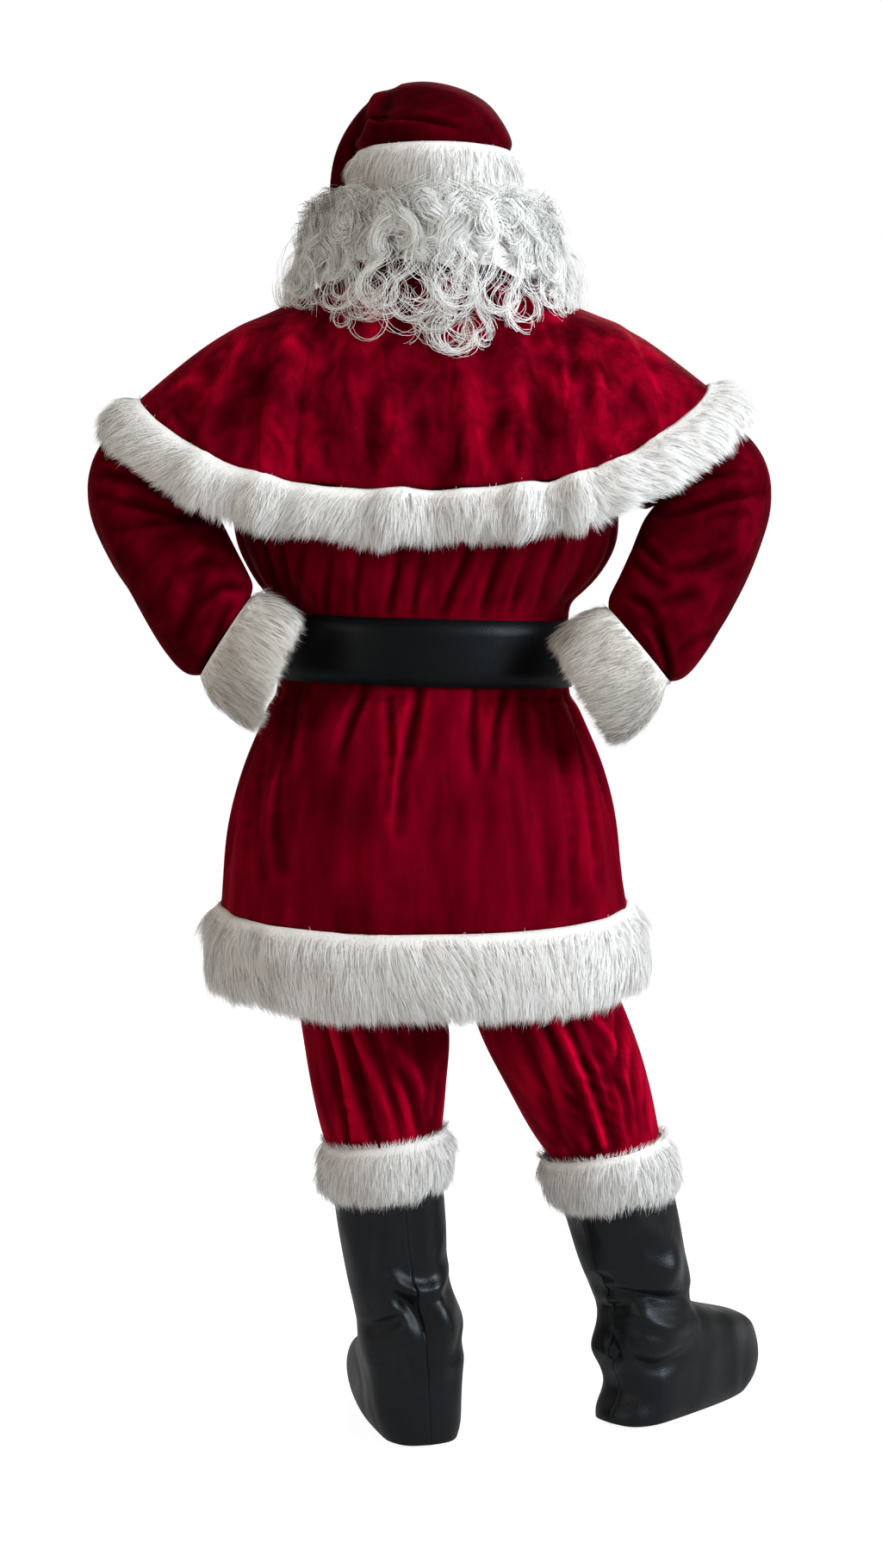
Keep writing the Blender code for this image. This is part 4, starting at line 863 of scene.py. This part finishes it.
def leather(name, grain, rough, shine, slouch):
    """Black coated leather: pebbled grain, soft crumples, bluish gloss in rubbed patches."""
    made, tree, shader, at = blank(name)
    pebble = added(tree, "TexVoronoi", {"Scale": grain, "Vector": at})
    tone = noise(tree, at, 14.0, 4.0, (1.0, 1.0, 1.0), 0.6)
    colour = ramp(tree, tone, (0.35, (0.0010, 0.0011, 0.0014)), (0.75, (0.0040, 0.0045, 0.0056)))
    gloss = ramp(tree, tone, (0.30, rough + 0.10), (0.72, rough - 0.07))
    fine = blended(tree, "MIX", 0.35, pebble.outputs["Distance"], noise(tree, at, 60.0, 3.0))
    crumple = noise(tree, at, 15.0, 0.0, (1.0, 1.0, 0.8), 0.3)
    dial(shader, {"Base Color": colour, "Roughness": gloss, "Specular IOR Level": shine,
                  "Specular Tint": (0.82, 0.92, 1.0, 1.0),
                  "Normal": bump(tree, crumple, 0.8, slouch, bump(tree, fine, 0.35, 0.0008))})
    return made


BELT_LEATHER = leather("belt_leather", grain=620.0, rough=0.42, shine=0.17, slouch=0.003)
BELT_THICKNESS = 0.0030

belt = rounded(outer_face("belt_strap", 0.0045), 2)
belt = sewn("belt_band", belt, BELT_LEATHER, "belt_strap", BELT_THICKNESS)
belt.modifiers["cloth_edge"].use_rim_only = False


# Buckle: a cast brass frame and its prong at the front, tarnished in patches; both keep the
# imported solids.

def cast_brass(name):
    """Brass with fine scratches and darker patches."""
    made, tree, shader, at = blank(name)
    tarnish = noise(tree, at, 90.0, 5.0)
    scratches = noise(tree, at, 320.0, 3.0, (1.0, 1.0, 14.0))
    dial(shader, {
        "Base Color": ramp(tree, tarnish, (0.30, (0.42, 0.28, 0.09)), (0.65, (0.74, 0.55, 0.24))),
        "Metallic": 1.0, "Roughness": ramp(tree, scratches, (0.3, 0.24), (0.7, 0.42)),
        "Normal": bump(tree, scratches, 0.12, 0.0004)})
    return made


BRASS = cast_brass("cast_brass")
for node in ("belt_buckle", "belt_prong"):
    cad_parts[node].data.materials.clear()
    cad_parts[node].data.materials.append(BRASS)


# Cape: one flared round of velvet over the shoulders, sewn at the neck and falling to a fur
# edge above the elbows, with soft drag lines from the shoulder to the hem.

# depth sets how bright the cape's copy of the velvet is painted, for the light on it
CAPE_VELVET = crushed_velvet("cape_velvet", streak=(0.9, 1.0, 0.45), contrast=0.74, depth=0.97,
                             drape=(15.0, 0.22, 0.0), draped=0.14, patch=15.0)
CAPE_BACK_CREASES = creases(
    (7, -4.5, -248, -94, -264, -121, -274, -143), (7, -3.5, -266, -100, -283, -132),
    (12, -4, -196, -94, -210, -148, -218, -202), (12, -3, -150, -116, -158, -202),
    (12, -3, -65, -148, -68, -246), (14, -4, 36, -137, 33, -246),
    (7, -3.5, 163, -62, 172, -127, 180, -224), (7, -4.5, 194, -73, 189, -137, 190, -213),
    (6, -3, 212, -105, 207, -170, 203, -224), (7, -3.5, 235, -94, 237, -159, 233, -208),
    (7, -3.5, 269, -62, 285, -94, 299, -127), (9, -3, 120, -170, 118, -246))
CAPE_FRONT_CREASES = creases(
    (10, -4.5, -90, -80, -96, -150, -104, -220), (11, -4, -170, -70, -184, -130, -196, -190),
    (9, -3.5, -244, -80, -262, -124, -272, -156), (11, -4, 72, -84, 80, -150, 78, -226),
    (10, -4.5, 154, -70, 170, -132, 180, -198), (9, -3.5, 236, -72, 252, -118, 264, -152),
    (12, -3.5, -16, -100, -20, -180, -14, -240))
CAPE_WAVES = creases(*(
    (width, depth, across * 0.86, -60, across, -200, across * 1.04, -320, across * 1.08, -440)
    for across, width, depth in (
        (-272, 18, 4.5), (-193, 20, 5.5), (-120, 26, -3), (-44, 20, 5), (38, 28, -3.5),
        (120, 19, 5), (156, 14, -3), (191, 16, 5), (234, 15, 4.5), (294, 17, 4.5))))

cape = creased("cape", 3, (BACK, CAPE_WAVES), (BACK, CAPE_BACK_CREASES), (FRONT, CAPE_WAVES),
               (FRONT, CAPE_FRONT_CREASES))
cape = sewn("velvet_cape", cape, CAPE_VELVET, "cape")


# Cape edge: the same long fur all round the cape's hem, combed out over its edge and lifted
# in small waves where the cloth is gathered.

CAPE_HALF_WIDTH = 0.37
CAPE_HALF_DEPTH = 0.19


def off_the_shoulders(rows):
    """Comb fur out and down, the way the cape falls at each place."""
    out_x = rows[:, 0] / CAPE_HALF_WIDTH
    out_y = rows[:, 1] / CAPE_HALF_DEPTH
    down = -0.039 - 0.020 * np.abs(out_y)
    return unit(np.stack([0.046 * out_x, 0.012 * out_y, down], axis=1))


fur_band("cape_fur", "cape_trim", rim=0.0115, lumps=80, seed=21, count=13500,
         pelt=Pelt(length=0.038, hang=0.022, lift=0.09, ruffle=0.02), comb=off_the_shoulders,
         waves=CAPE_WAVES)


# Trousers: two velvet legs joined at the waistband and tucked into the boot covers. Long
# diagonal drags run down each leg and the cloth gathers above the boots.

# depth paints the trousers' copy of the velvet much lighter: painted light
TROUSER_VELVET = crushed_velvet("trouser_velvet", streak=(1.0, 1.0, 0.12), contrast=0.50,
                                depth=1.70, drape=(16.0, 0.07, -20.0), draped=0.26, patch=6.0)
LEG_BACK_PRESS = 1.9
LEG_FRONT_PRESS = 2.0
LEG_CREASES = {
    "left": creases(
        (9, -5.5, -134, -966, -119, -1028, -111, -1085),
        (9, -8.5, -108, -966, -85, -1040, -63, -1125),
        (10, -4.5, -74, -971, -40, -1062, -32, -1131), (8, -6.5, -46, -1005, -14, -1062, 1, -1125),
        (6, -5, -23, -1023, 5, -1085, 14, -1131), (6, -4, 27, -1028, 19, -1085, 17, -1125),
        (6, -4.5, -105, -1085, -100, -1137),
        (7, 5.5, -90, -975, -62, -1035, -42, -1098, -34, -1136),
        (6, 5, -30, -1000, -8, -1045, 7, -1100), (7, 4, -122, -970, -103, -1030, -90, -1120)),
    "right": creases(
        (10, -5.5, 124, -972, 153, -1047, 182, -1140),
        (9, -7.5, 156, -967, 187, -1047, 227, -1146), (9, -8.5, 187, -961, 221, -1042, 256, -1146),
        (7, -5, 201, -949, 238, -1036, 264, -1140), (7, -6.5, 258, -949, 263, -1007, 252, -1045),
        (7, -5, 252, -1045, 270, -1076, 279, -1128), (6, -5, 281, -1013, 282, -1070, 287, -1134),
        (6, -3.5, 298, -1047, 298, -1134), (7, 6, 142, -955, 174, -1020, 208, -1100, 222, -1146),
        (8, 6.5, 172, -955, 206, -1030, 243, -1140), (7, 5.5, 216, -950, 246, -996, 252, -1030),
        (6, 5, 262, -1040, 276, -1084, 284, -1130))}
FRONT_LEG_CREASES = {
    "left": creases(
        (10, -6, -120, -960, -90, -1040, -76, -1130), (9, -6, -70, -965, -46, -1050, -40, -1128),
        (9, -5, -20, -980, -6, -1060, -4, -1130), (7, -4.5, -100, -1080, -60, -1110, -30, -1112)),
    "right": creases(
        (10, -6, 140, -962, 176, -1050, 204, -1140), (9, -6.5, 180, -960, 216, -1046, 238, -1142),
        (9, -5, 226, -970, 252, -1050, 268, -1140), (7, -4.5, 190, -1096, 230, -1116, 262, -1110))}

# the right leg's folds get stronger painted light and shade than the left's
for side, painted_fold_shading in (("left", 1.5), ("right", 2.4)):
    leg = creased("trousers_" + side, 3, (BACK, LEG_CREASES[side], LEG_BACK_PRESS),
                  (FRONT, FRONT_LEG_CREASES[side], LEG_FRONT_PRESS))
    leg = sewn("velvet_leg_" + side, leg, TROUSER_VELVET, "trousers_" + side,
               painted_fold_shading=painted_fold_shading)

waistband = rounded(outer_face("trousers_waistband", 0.0055), 2)
waistband = sewn("velvet_waistband", waistband, TROUSER_VELVET, "trousers_waistband")


# Boot covers: black leatherette, each an outer and an inner panel joined by a seam down the back
# and over the front, slouched at the ankle, open underneath.

BOOT_LEATHERETTE = leather("boot_leatherette", grain=380.0, rough=0.40, shine=0.36, slouch=0.020)
LEATHERETTE_THICKNESS = 0.0016
BOOT_SOFTNESS = 1.5
BOOT_PRESS = 2.3
BOOT_CREASES = {
    "left": creases(
        (8, 5.5, -41, -1310, -24, -1325, 7, -1330, 27, -1320, 38, -1304),
        (8, -6, -33, -1333, -12, -1355, 1, -1382), (7, -4.5, 38, -1320, 35, -1347),
        (7, -4.5, -89, -1390, -58, -1380, -26, -1364), (10, 3, 7, -1185, 7, -1249, 1, -1295),
        (7, -2.5, -24, -1399, -15, -1446), (16, 4.5, 18, -1200, 26, -1250, 22, -1292),
        (13, 5, 20, -1345, 30, -1385, 20, -1440), (10, -3.5, -70, -1210, -76, -1290, -80, -1360),
        (12, 3.5, -60, -1420, -64, -1480, -76, -1530)),
    "right": creases(
        (7, -7.5, 239, -1355, 271, -1358, 302, -1363, 347, -1370, 372, -1375),
        (14, 5, 302, -1313, 329, -1325, 341, -1349), (9, 5, 289, -1382, 329, -1402, 362, -1410),
        (6, -4.5, 242, -1384, 265, -1378, 291, -1372),
        (6, -4.5, 256, -1420, 259, -1449, 250, -1467), (6, -4, 230, -1349, 242, -1337, 256, -1339),
        (4, -2.5, 372, -1375, 384, -1414, 394, -1455), (7, 3, 290, -1231, 305, -1219, 320, -1210),
        (12, 4.5, 259, -1215, 286, -1248, 312, -1268), (12, 5, 322, -1270, 336, -1300, 334, -1330),
        (16, 5.5, 286, -1412, 330, -1428, 372, -1420),
        (10, -4, 270, -1440, 310, -1462, 352, -1452))}
BOOT_FRONT_CREASES = {
    "left": creases(
        (8, -5.5, -80, -1352, -50, -1366, -10, -1360),
        (7, 4.5, -76, -1372, -46, -1386, -16, -1380), (8, -4, -72, -1300, -40, -1310, 0, -1296)),
    "right": creases(
        (8, -5.5, 260, -1350, 300, -1366, 340, -1356),
        (7, 4.5, 268, -1376, 304, -1388, 344, -1380), (8, -4, 250, -1300, 286, -1312, 322, -1300))}


def softened(pressed):
    """The same creases, wider."""
    return [crease._replace(width=BOOT_SOFTNESS * crease.width) for crease in pressed]


for side in ("left", "right"):
    for node in ("boot_%s_outer" % side, "boot_%s_inner" % side):
        panel = creased(node, 3, (BACK, softened(BOOT_CREASES[side]), BOOT_PRESS),
                        (FRONT, softened(BOOT_FRONT_CREASES[side]), BOOT_PRESS))
        panel = sewn("leatherette_" + node, panel, BOOT_LEATHERETTE, node,
                     LEATHERETTE_THICKNESS)


# Boot tops: short rings of the long fur, sewn round the boot covers' openings and ruffled up
# along their upper edge.

for side, seed in (("left", 51), ("right", 61)):
    fur_band("boot_top_fur_" + side, "boot_fur_" + side, rim=0.0062, lumps=22,
             seed=seed, count=4300, depth=0.006,
             pelt=Pelt(length=0.034, hang=0.024, lift=0.22, ruffle=0.9))


# Hat: a velvet cone, pinched over at its peak and hanging down in front of the left ear, its
# point ending in a ball of fur.

HAT_CREASES = creases(
    (6, -5, -82, 207, -50, 202, -11, 199, 44, 186), (7, -4.5, -77, 214, -86, 187, -94, 160),
    (9, -2.5, 77, 204, 110, 166))
HAT_TOP_CREASES = creases(
    (10, 4.8, -66, -50, -66, 0, -62, 40), (9, -3, -44, -50, -44, 0, -40, 40))
HAT_FRONT_CREASES = creases(
    (8, -5, -70, 215, -20, 205, 40, 190), (8, -4.5, -94, 170, -60, 176, -10, 168),
    (8, -4, 30, 215, 60, 190, 90, 160))
# depth paints the hat's copy of the velvet much darker: painted shade
HAT_VELVET = crushed_velvet("hat_velvet", streak=(1.0, 1.0, 0.6), contrast=0.40, depth=0.40,
                            drape=(12.0, 0.6, 60.0), draped=0.14)

hat = creased("hat_cone", 3, (BACK, HAT_CREASES), (FRONT, HAT_FRONT_CREASES),
              (ABOVE, HAT_TOP_CREASES))
hat = sewn("velvet_hat", hat, HAT_VELVET, "hat_cone")


# Hat brim and pompom: a band of long fur sewn round the hat's edge, and a padded ball of it
# sewn to its point.

POMPOM_PLACE = (-0.102, 0.141, 0.012)
POMPOM_CORE = 0.024
POMPOM_SAG = 0.008

fur_band("brim_fur", "hat_brim", rim=0.010, lumps=40, seed=71, count=6500,
         pelt=Pelt(length=0.034, hang=0.012, lift=0.08, ruffle=0.03))

pompom_bm = bmesh.new()
bmesh.ops.create_icosphere(pompom_bm, subdivisions=3, radius=POMPOM_CORE)
bmesh.ops.translate(pompom_bm, verts=pompom_bm.verts, vec=POMPOM_PLACE)
pompom = placed("pompom_core", bpy.data.meshes.new("pompom_core"))
pompom_bm.to_mesh(pompom.data)
pompom_bm.free()
pompom.data.materials.append(FUR_BACK)


def outwards(rows):
    """Comb the ball's fur out from its middle, sagging a little."""
    return unit(rows - np.array(POMPOM_PLACE) + np.array((0.0, 0.0, -POMPOM_SAG)))


fur("pompom_fur", "hat_pompom", pompom.data, count=2500, comb=outwards,
    pelt=Pelt(length=0.020, hang=0.0, lift=0.9, ruffle=0.0), seed=82, material=LONG_FUR)
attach(pompom, "root")
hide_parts("hat_pompom")


# Wig: a net cap with three wefts of silvery synthetic hair sewn round it. The hair springs out
# from under the brim in waves, and its locks end in open rings of fine strands that lie on the
# cape, so that the velvet shows between and inside the rings.

HEAD_MIDDLE = (0.012, 0.020)
HAIR_STOPS = 19
HAIR_RING_STOPS = 13
HAIR_RING_START = 62.0
HAIR_RING_CUT = (0.72, 1.06)
HAIR_RING_TIGHTEN = 0.30
HAIR_RING_RISE = 0.010
HAIR_SPRING = (0.48, 0.12)
HAIR_APPROACH = 0.45
HAIR_WAVES = 1.2
HAIR_HALF_WIDTH = 0.00029
HAIR_TAPER = (0.8, 0.5, 0.1)
ROOT_DEPTH = 0.016
CAP_THICKNESS = 0.0010
HAIR_FORM = (  # height, half width and half depth of the hair's outline
    (-0.140, 0.104, 0.170), (-0.100, 0.138, 0.174), (-0.075, 0.158, 0.177), (-0.055, 0.174, 0.180),
    (-0.030, 0.185, 0.184), (0.000, 0.187, 0.182), (0.016, 0.177, 0.176), (0.032, 0.160, 0.168),
    (0.050, 0.157, 0.165), (0.080, 0.155, 0.158), (0.096, 0.145, 0.148), (0.112, 0.116, 0.128),
    (0.140, 0.098, 0.114))

Lock = namedtuple("Lock", "azimuth height ring_height radius sweep hand strands")


def silver_hair(name):
    """Silvery white synthetic hair: glossy along the strand, with painted shade making it greyer
    near the roots.
    """
    made, tree, shader, _ = blank(name)
    which, along = strand_places(tree)
    each = ramp(tree, which, (0.0, (0.80, 0.805, 0.785)), (0.30, (0.90, 0.905, 0.885)),
                (0.8, (0.97, 0.975, 0.955)))
    # painted shade: the strands are greyer towards their roots
    along = ramp(tree, along, (0.0, (0.74, 0.73, 0.71)), (0.3, 1.0))
    dial(shader, {"Base Color": blended(tree, "MULTIPLY", 1.0, each, along), "Roughness": 0.34,
                  "Specular IOR Level": 0.6})
    return made


SILVER_HAIR = silver_hair("silver_hair")


def hair_place(azimuth, height, out):
    """Places on the hair's outline, from straight behind the head and clockwise from above."""
    heights, widths, depths = np.array(HAIR_FORM).T
    turn = np.radians(azimuth)
    across = (np.interp(height, heights, widths) + out) * np.sin(turn)
    behind = (np.interp(height, heights, depths) + out) * np.cos(turn)
    return np.stack([HEAD_MIDDLE[0] + across, HEAD_MIDDLE[1] - behind, height + 0.0 * turn],
                    axis=-1)


def lock_lines(lock, chance, loose, out, wave):
    """The lines of a lock's strands: out from under the brim, down in a wave and round a ring."""
    count = lock.strands
    azimuth = lock.azimuth + chance.normal(0.0, 1.3 * loose, (count, 1))
    turn = np.radians(azimuth)
    outward = unit(np.concatenate([np.sin(turn), -np.cos(turn), 0.0 * turn], axis=1)
                   + chance.normal((0.0, 0.0, 0.08), 0.16, 3))
    upward = np.array((0.0, 0.0, 1.0)) - outward * outward[:, 2:]
    upward = unit(upward + chance.normal(0.0, 0.10, 3) + chance.normal(0.0, 0.02, (count, 3)))
    sideways = np.cross(outward, upward) * lock.hand
    radius = lock.radius * (1.0 + chance.normal(0.0, 0.05 * loose, (count, 1)))
    height = lock.ring_height + chance.normal(0.0, 0.0022 * loose, count)
    middle = hair_place(azimuth[:, 0], height, out + chance.normal(0.0, 0.002, count))
    start = radians(HAIR_RING_START) + chance.normal(0.0, 0.09, (count, 1))
    share = np.linspace(0.0, 1.0, HAIR_RING_STOPS)[None]
    turns = start - np.radians(lock.sweep) * chance.uniform(*HAIR_RING_CUT, (count, 1)) * share
    shrink = radius * (1.0 - HAIR_RING_TIGHTEN * share ** 2)
    ring = (middle[:, None] + (shrink * np.cos(turns))[:, :, None] * sideways[:, None]
            + (shrink * np.sin(turns))[:, :, None] * upward[:, None]
            + (HAIR_RING_RISE * share)[:, :, None] * outward[:, None])
    root = hair_place(lock.azimuth - 4.0 * lock.hand + chance.normal(0.0, 3.0, count),
                      lock.height + chance.normal(0.0, 0.004, count), -ROOT_DEPTH)
    heading = np.sin(turns[:, :1]) * sideways - np.cos(turns[:, :1]) * upward
    reach = lengths(ring[:, 0] - root)[:, None]
    first = root + reach * (HAIR_SPRING[0] * outward + HAIR_SPRING[1] * upward)
    second = ring[:, 0] - HAIR_APPROACH * reach * heading
    share = np.linspace(0.0, 1.0, HAIR_STOPS - HAIR_RING_STOPS + 1)[None, :-1, None]
    fall = ((1 - share) ** 3 * root[:, None] + 3 * (1 - share) ** 2 * share * first[:, None]
            + 3 * (1 - share) * share ** 2 * second[:, None] + share ** 3 * ring[:, :1])
    phase = 2.6 * radians(lock.azimuth) + chance.normal(0.0, 0.5)
    round_it = 2 * pi * HAIR_WAVES * share + phase
    swing = wave * np.sin(round_it) * np.sin(pi * share)
    puff = 0.7 * wave * np.sin(round_it + 1.3) * np.sin(pi * share)
    fall = fall + swing * sideways[:, None] + puff * outward[:, None]
    return np.concatenate([fall, ring], axis=1), outward


def hair(name, locks, node, seed, spread, loose, out, wave):
    """Grow a weft of locks; each is a loose ribbon of fine strands that run side by side."""
    chance = np.random.default_rng(seed)
    lines, halves, facing = [], [], []
    for lock in locks:
        strands, outward = lock_lines(lock, chance, loose, out + chance.uniform(-0.012, 0.004),
                                      wave)
        count = lock.strands
        outward = outward[:, None]
        across = unit(np.cross(unit(np.gradient(strands, axis=1)), outward))
        along = np.linspace(0.0, 1.0, HAIR_STOPS)
        width = spread * (1.9 - 1.3 * np.minimum(along / 0.5, 1.0))
        beside = chance.uniform(-1.0, 1.0, (count, 1))
        phase = chance.uniform(0.0, 2 * pi, (count, 1))
        side = beside * width + 0.0006 * np.sin(phase + 8.0 * along)
        over = chance.normal(0.0, 0.22, (count, 1)) * width
        over = over + 0.0004 * np.cos(phase * 1.7 + 7.0 * along)
        strands = strands + side[:, :, None] * across + over[:, :, None] * outward
        turn = chance.uniform(-0.7, 0.7, (count, 1, 1))
        thin = HAIR_HALF_WIDTH * chance.uniform(*STRAND_WIDTHS, (count, 1, 1))
        half = thin * (across * np.cos(turn) + outward * np.sin(turn))
        half[:, -3:] *= np.array(HAIR_TAPER)[None, :, None]
        lines.append(strands)
        halves.append(half)
        lean = chance.normal(0.0, 0.06, (count, 1, 1))
        facing.append(outward + (0.35 * beside[:, :, None] + lean) * across)
    lines, halves, facing = (np.concatenate(rows) for rows in (lines, halves, facing))
    piece = ribbons(name, lines, halves, facing, chance.random(len(lines)), SILVER_HAIR)
    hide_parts(node)


def azimuth_at(across, height):
    """Where round the back of the head a place across lies."""
    heights, widths, _ = np.array(HAIR_FORM).T
    share = (across - HEAD_MIDDLE[0]) / np.interp(height, heights, widths)
    return float(np.degrees(np.arcsin(np.clip(share, -0.97, 0.97))))


NAPE_RINGS = (  # across, height, radius, hand
    (-0.104, -0.026, 0.030, -1), (-0.054, -0.023, 0.028, 1), (-0.135, -0.058, 0.026, -1),
    (-0.095, -0.072, 0.018, 1), (0.000, -0.037, 0.032, 1), (0.043, -0.026, 0.028, -1),
    (0.041, -0.080, 0.029, 1), (0.076, -0.078, 0.024, -1), (0.132, -0.051, 0.030, 1),
    (0.160, -0.021, 0.026, 1), (-0.151, -0.021, 0.027, -1), (0.020, -0.060, 0.024, -1),
    (0.100, -0.030, 0.026, 1), (-0.076, -0.046, 0.020, -1))
CROWN_RINGS = (
    (-0.066, 0.088, 0.018, 1), (-0.058, 0.072, 0.024, -1), (-0.034, 0.076, 0.021, -1),
    (0.004, 0.080, 0.016, 1), (0.062, 0.074, 0.015, -1), (-0.090, 0.066, 0.020, -1),
    (0.098, 0.070, 0.018, 1))
chance = np.random.default_rng(5)


def drawn(low, high):
    """Draw a number evenly between two."""
    return float(chance.uniform(low, high))


def either_hand():
    """Draw a way to curl."""
    return int(chance.choice((-1, 1)))


def side_hand(azimuth):
    """Draw a way to curl, more often away from the middle of the back."""
    return 1 if chance.random() < 0.5 + azimuth / 300.0 else -1


nape_locks = [
    Lock(azimuth_at(across, height) + drawn(-3.0, 3.0), 0.045, height, radius, 335.0, hand, 14)
    for across, height, radius, hand in NAPE_RINGS]
nape_locks += [
    Lock(azimuth_at(across, height) + drawn(-5.0, 5.0), 0.040, height + drawn(-0.014, 0.014),
         radius * drawn(0.55, 1.2), drawn(250.0, 340.0), hand * either_hand(), 7)
    for across, height, radius, hand in 2 * NAPE_RINGS]
nape_locks += [
    Lock(side * azimuth + drawn(-3.0, 3.0), 0.045, drawn(-0.056, 0.022), drawn(0.018, 0.030),
         320.0, -side if chance.random() < 0.3 else side, 15)
    for azimuth in range(58, 140, 7) for side in (-1, 1) for _ in range(2)]
nape_locks += [
    Lock(drawn(-85.0, 85.0), 0.055, drawn(-0.075, 0.010), drawn(0.020, 0.040),
         drawn(200.0, 330.0), either_hand(), 3) for _ in range(50)]
middle_locks = [
    Lock(azimuth + drawn(-2.5, 2.5), 0.078, drawn(0.010, 0.038), drawn(0.017, 0.030),
         drawn(120.0, 250.0), side_hand(azimuth), 62) for azimuth in range(-138, 139, 5)]
crown_locks = [
    Lock(azimuth + drawn(-2.5, 2.5), 0.092, drawn(0.044, 0.066), drawn(0.016, 0.026),
         drawn(90.0, 200.0), side_hand(azimuth), 64) for azimuth in range(-138, 139, 6)]
crown_locks += [Lock(azimuth_at(across, 0.090), 0.074, height, radius, 335.0, hand, 7)
                for across, height, radius, hand in CROWN_RINGS]
hair("hair_nape", nape_locks, "wig_weft_nape", seed=91, spread=0.0014, loose=1.0, out=0.008,
     wave=0.006)
hair("hair_middle", middle_locks, "wig_weft_middle", seed=92, spread=0.0120, loose=0.8, out=0.002,
     wave=0.012)
hair("hair_crown", crown_locks, "wig_weft_crown", seed=93, spread=0.0130, loose=0.8, out=0.008,
     wave=0.012)


def cap_net(name):
    """Fine net of the wig's cap, with hair seen through it."""
    made, tree, shader, at = blank(name)
    holes = added(tree, "TexVoronoi", {"Scale": 420.0, "Vector": at}).outputs["Distance"]
    dial(shader, {"Base Color": ramp(tree, holes, (0.2, (0.30, 0.29, 0.28)),
                                     (0.6, (0.60, 0.59, 0.57))),
                  "Roughness": 0.85, "Normal": bump(tree, holes, 0.5, 0.0008)})
    return made


cap = rounded(outer_face("wig_cap"), 2)
cap = sewn("wig_net_cap", cap, cap_net("cap_net"), "wig_cap", CAP_THICKNESS)
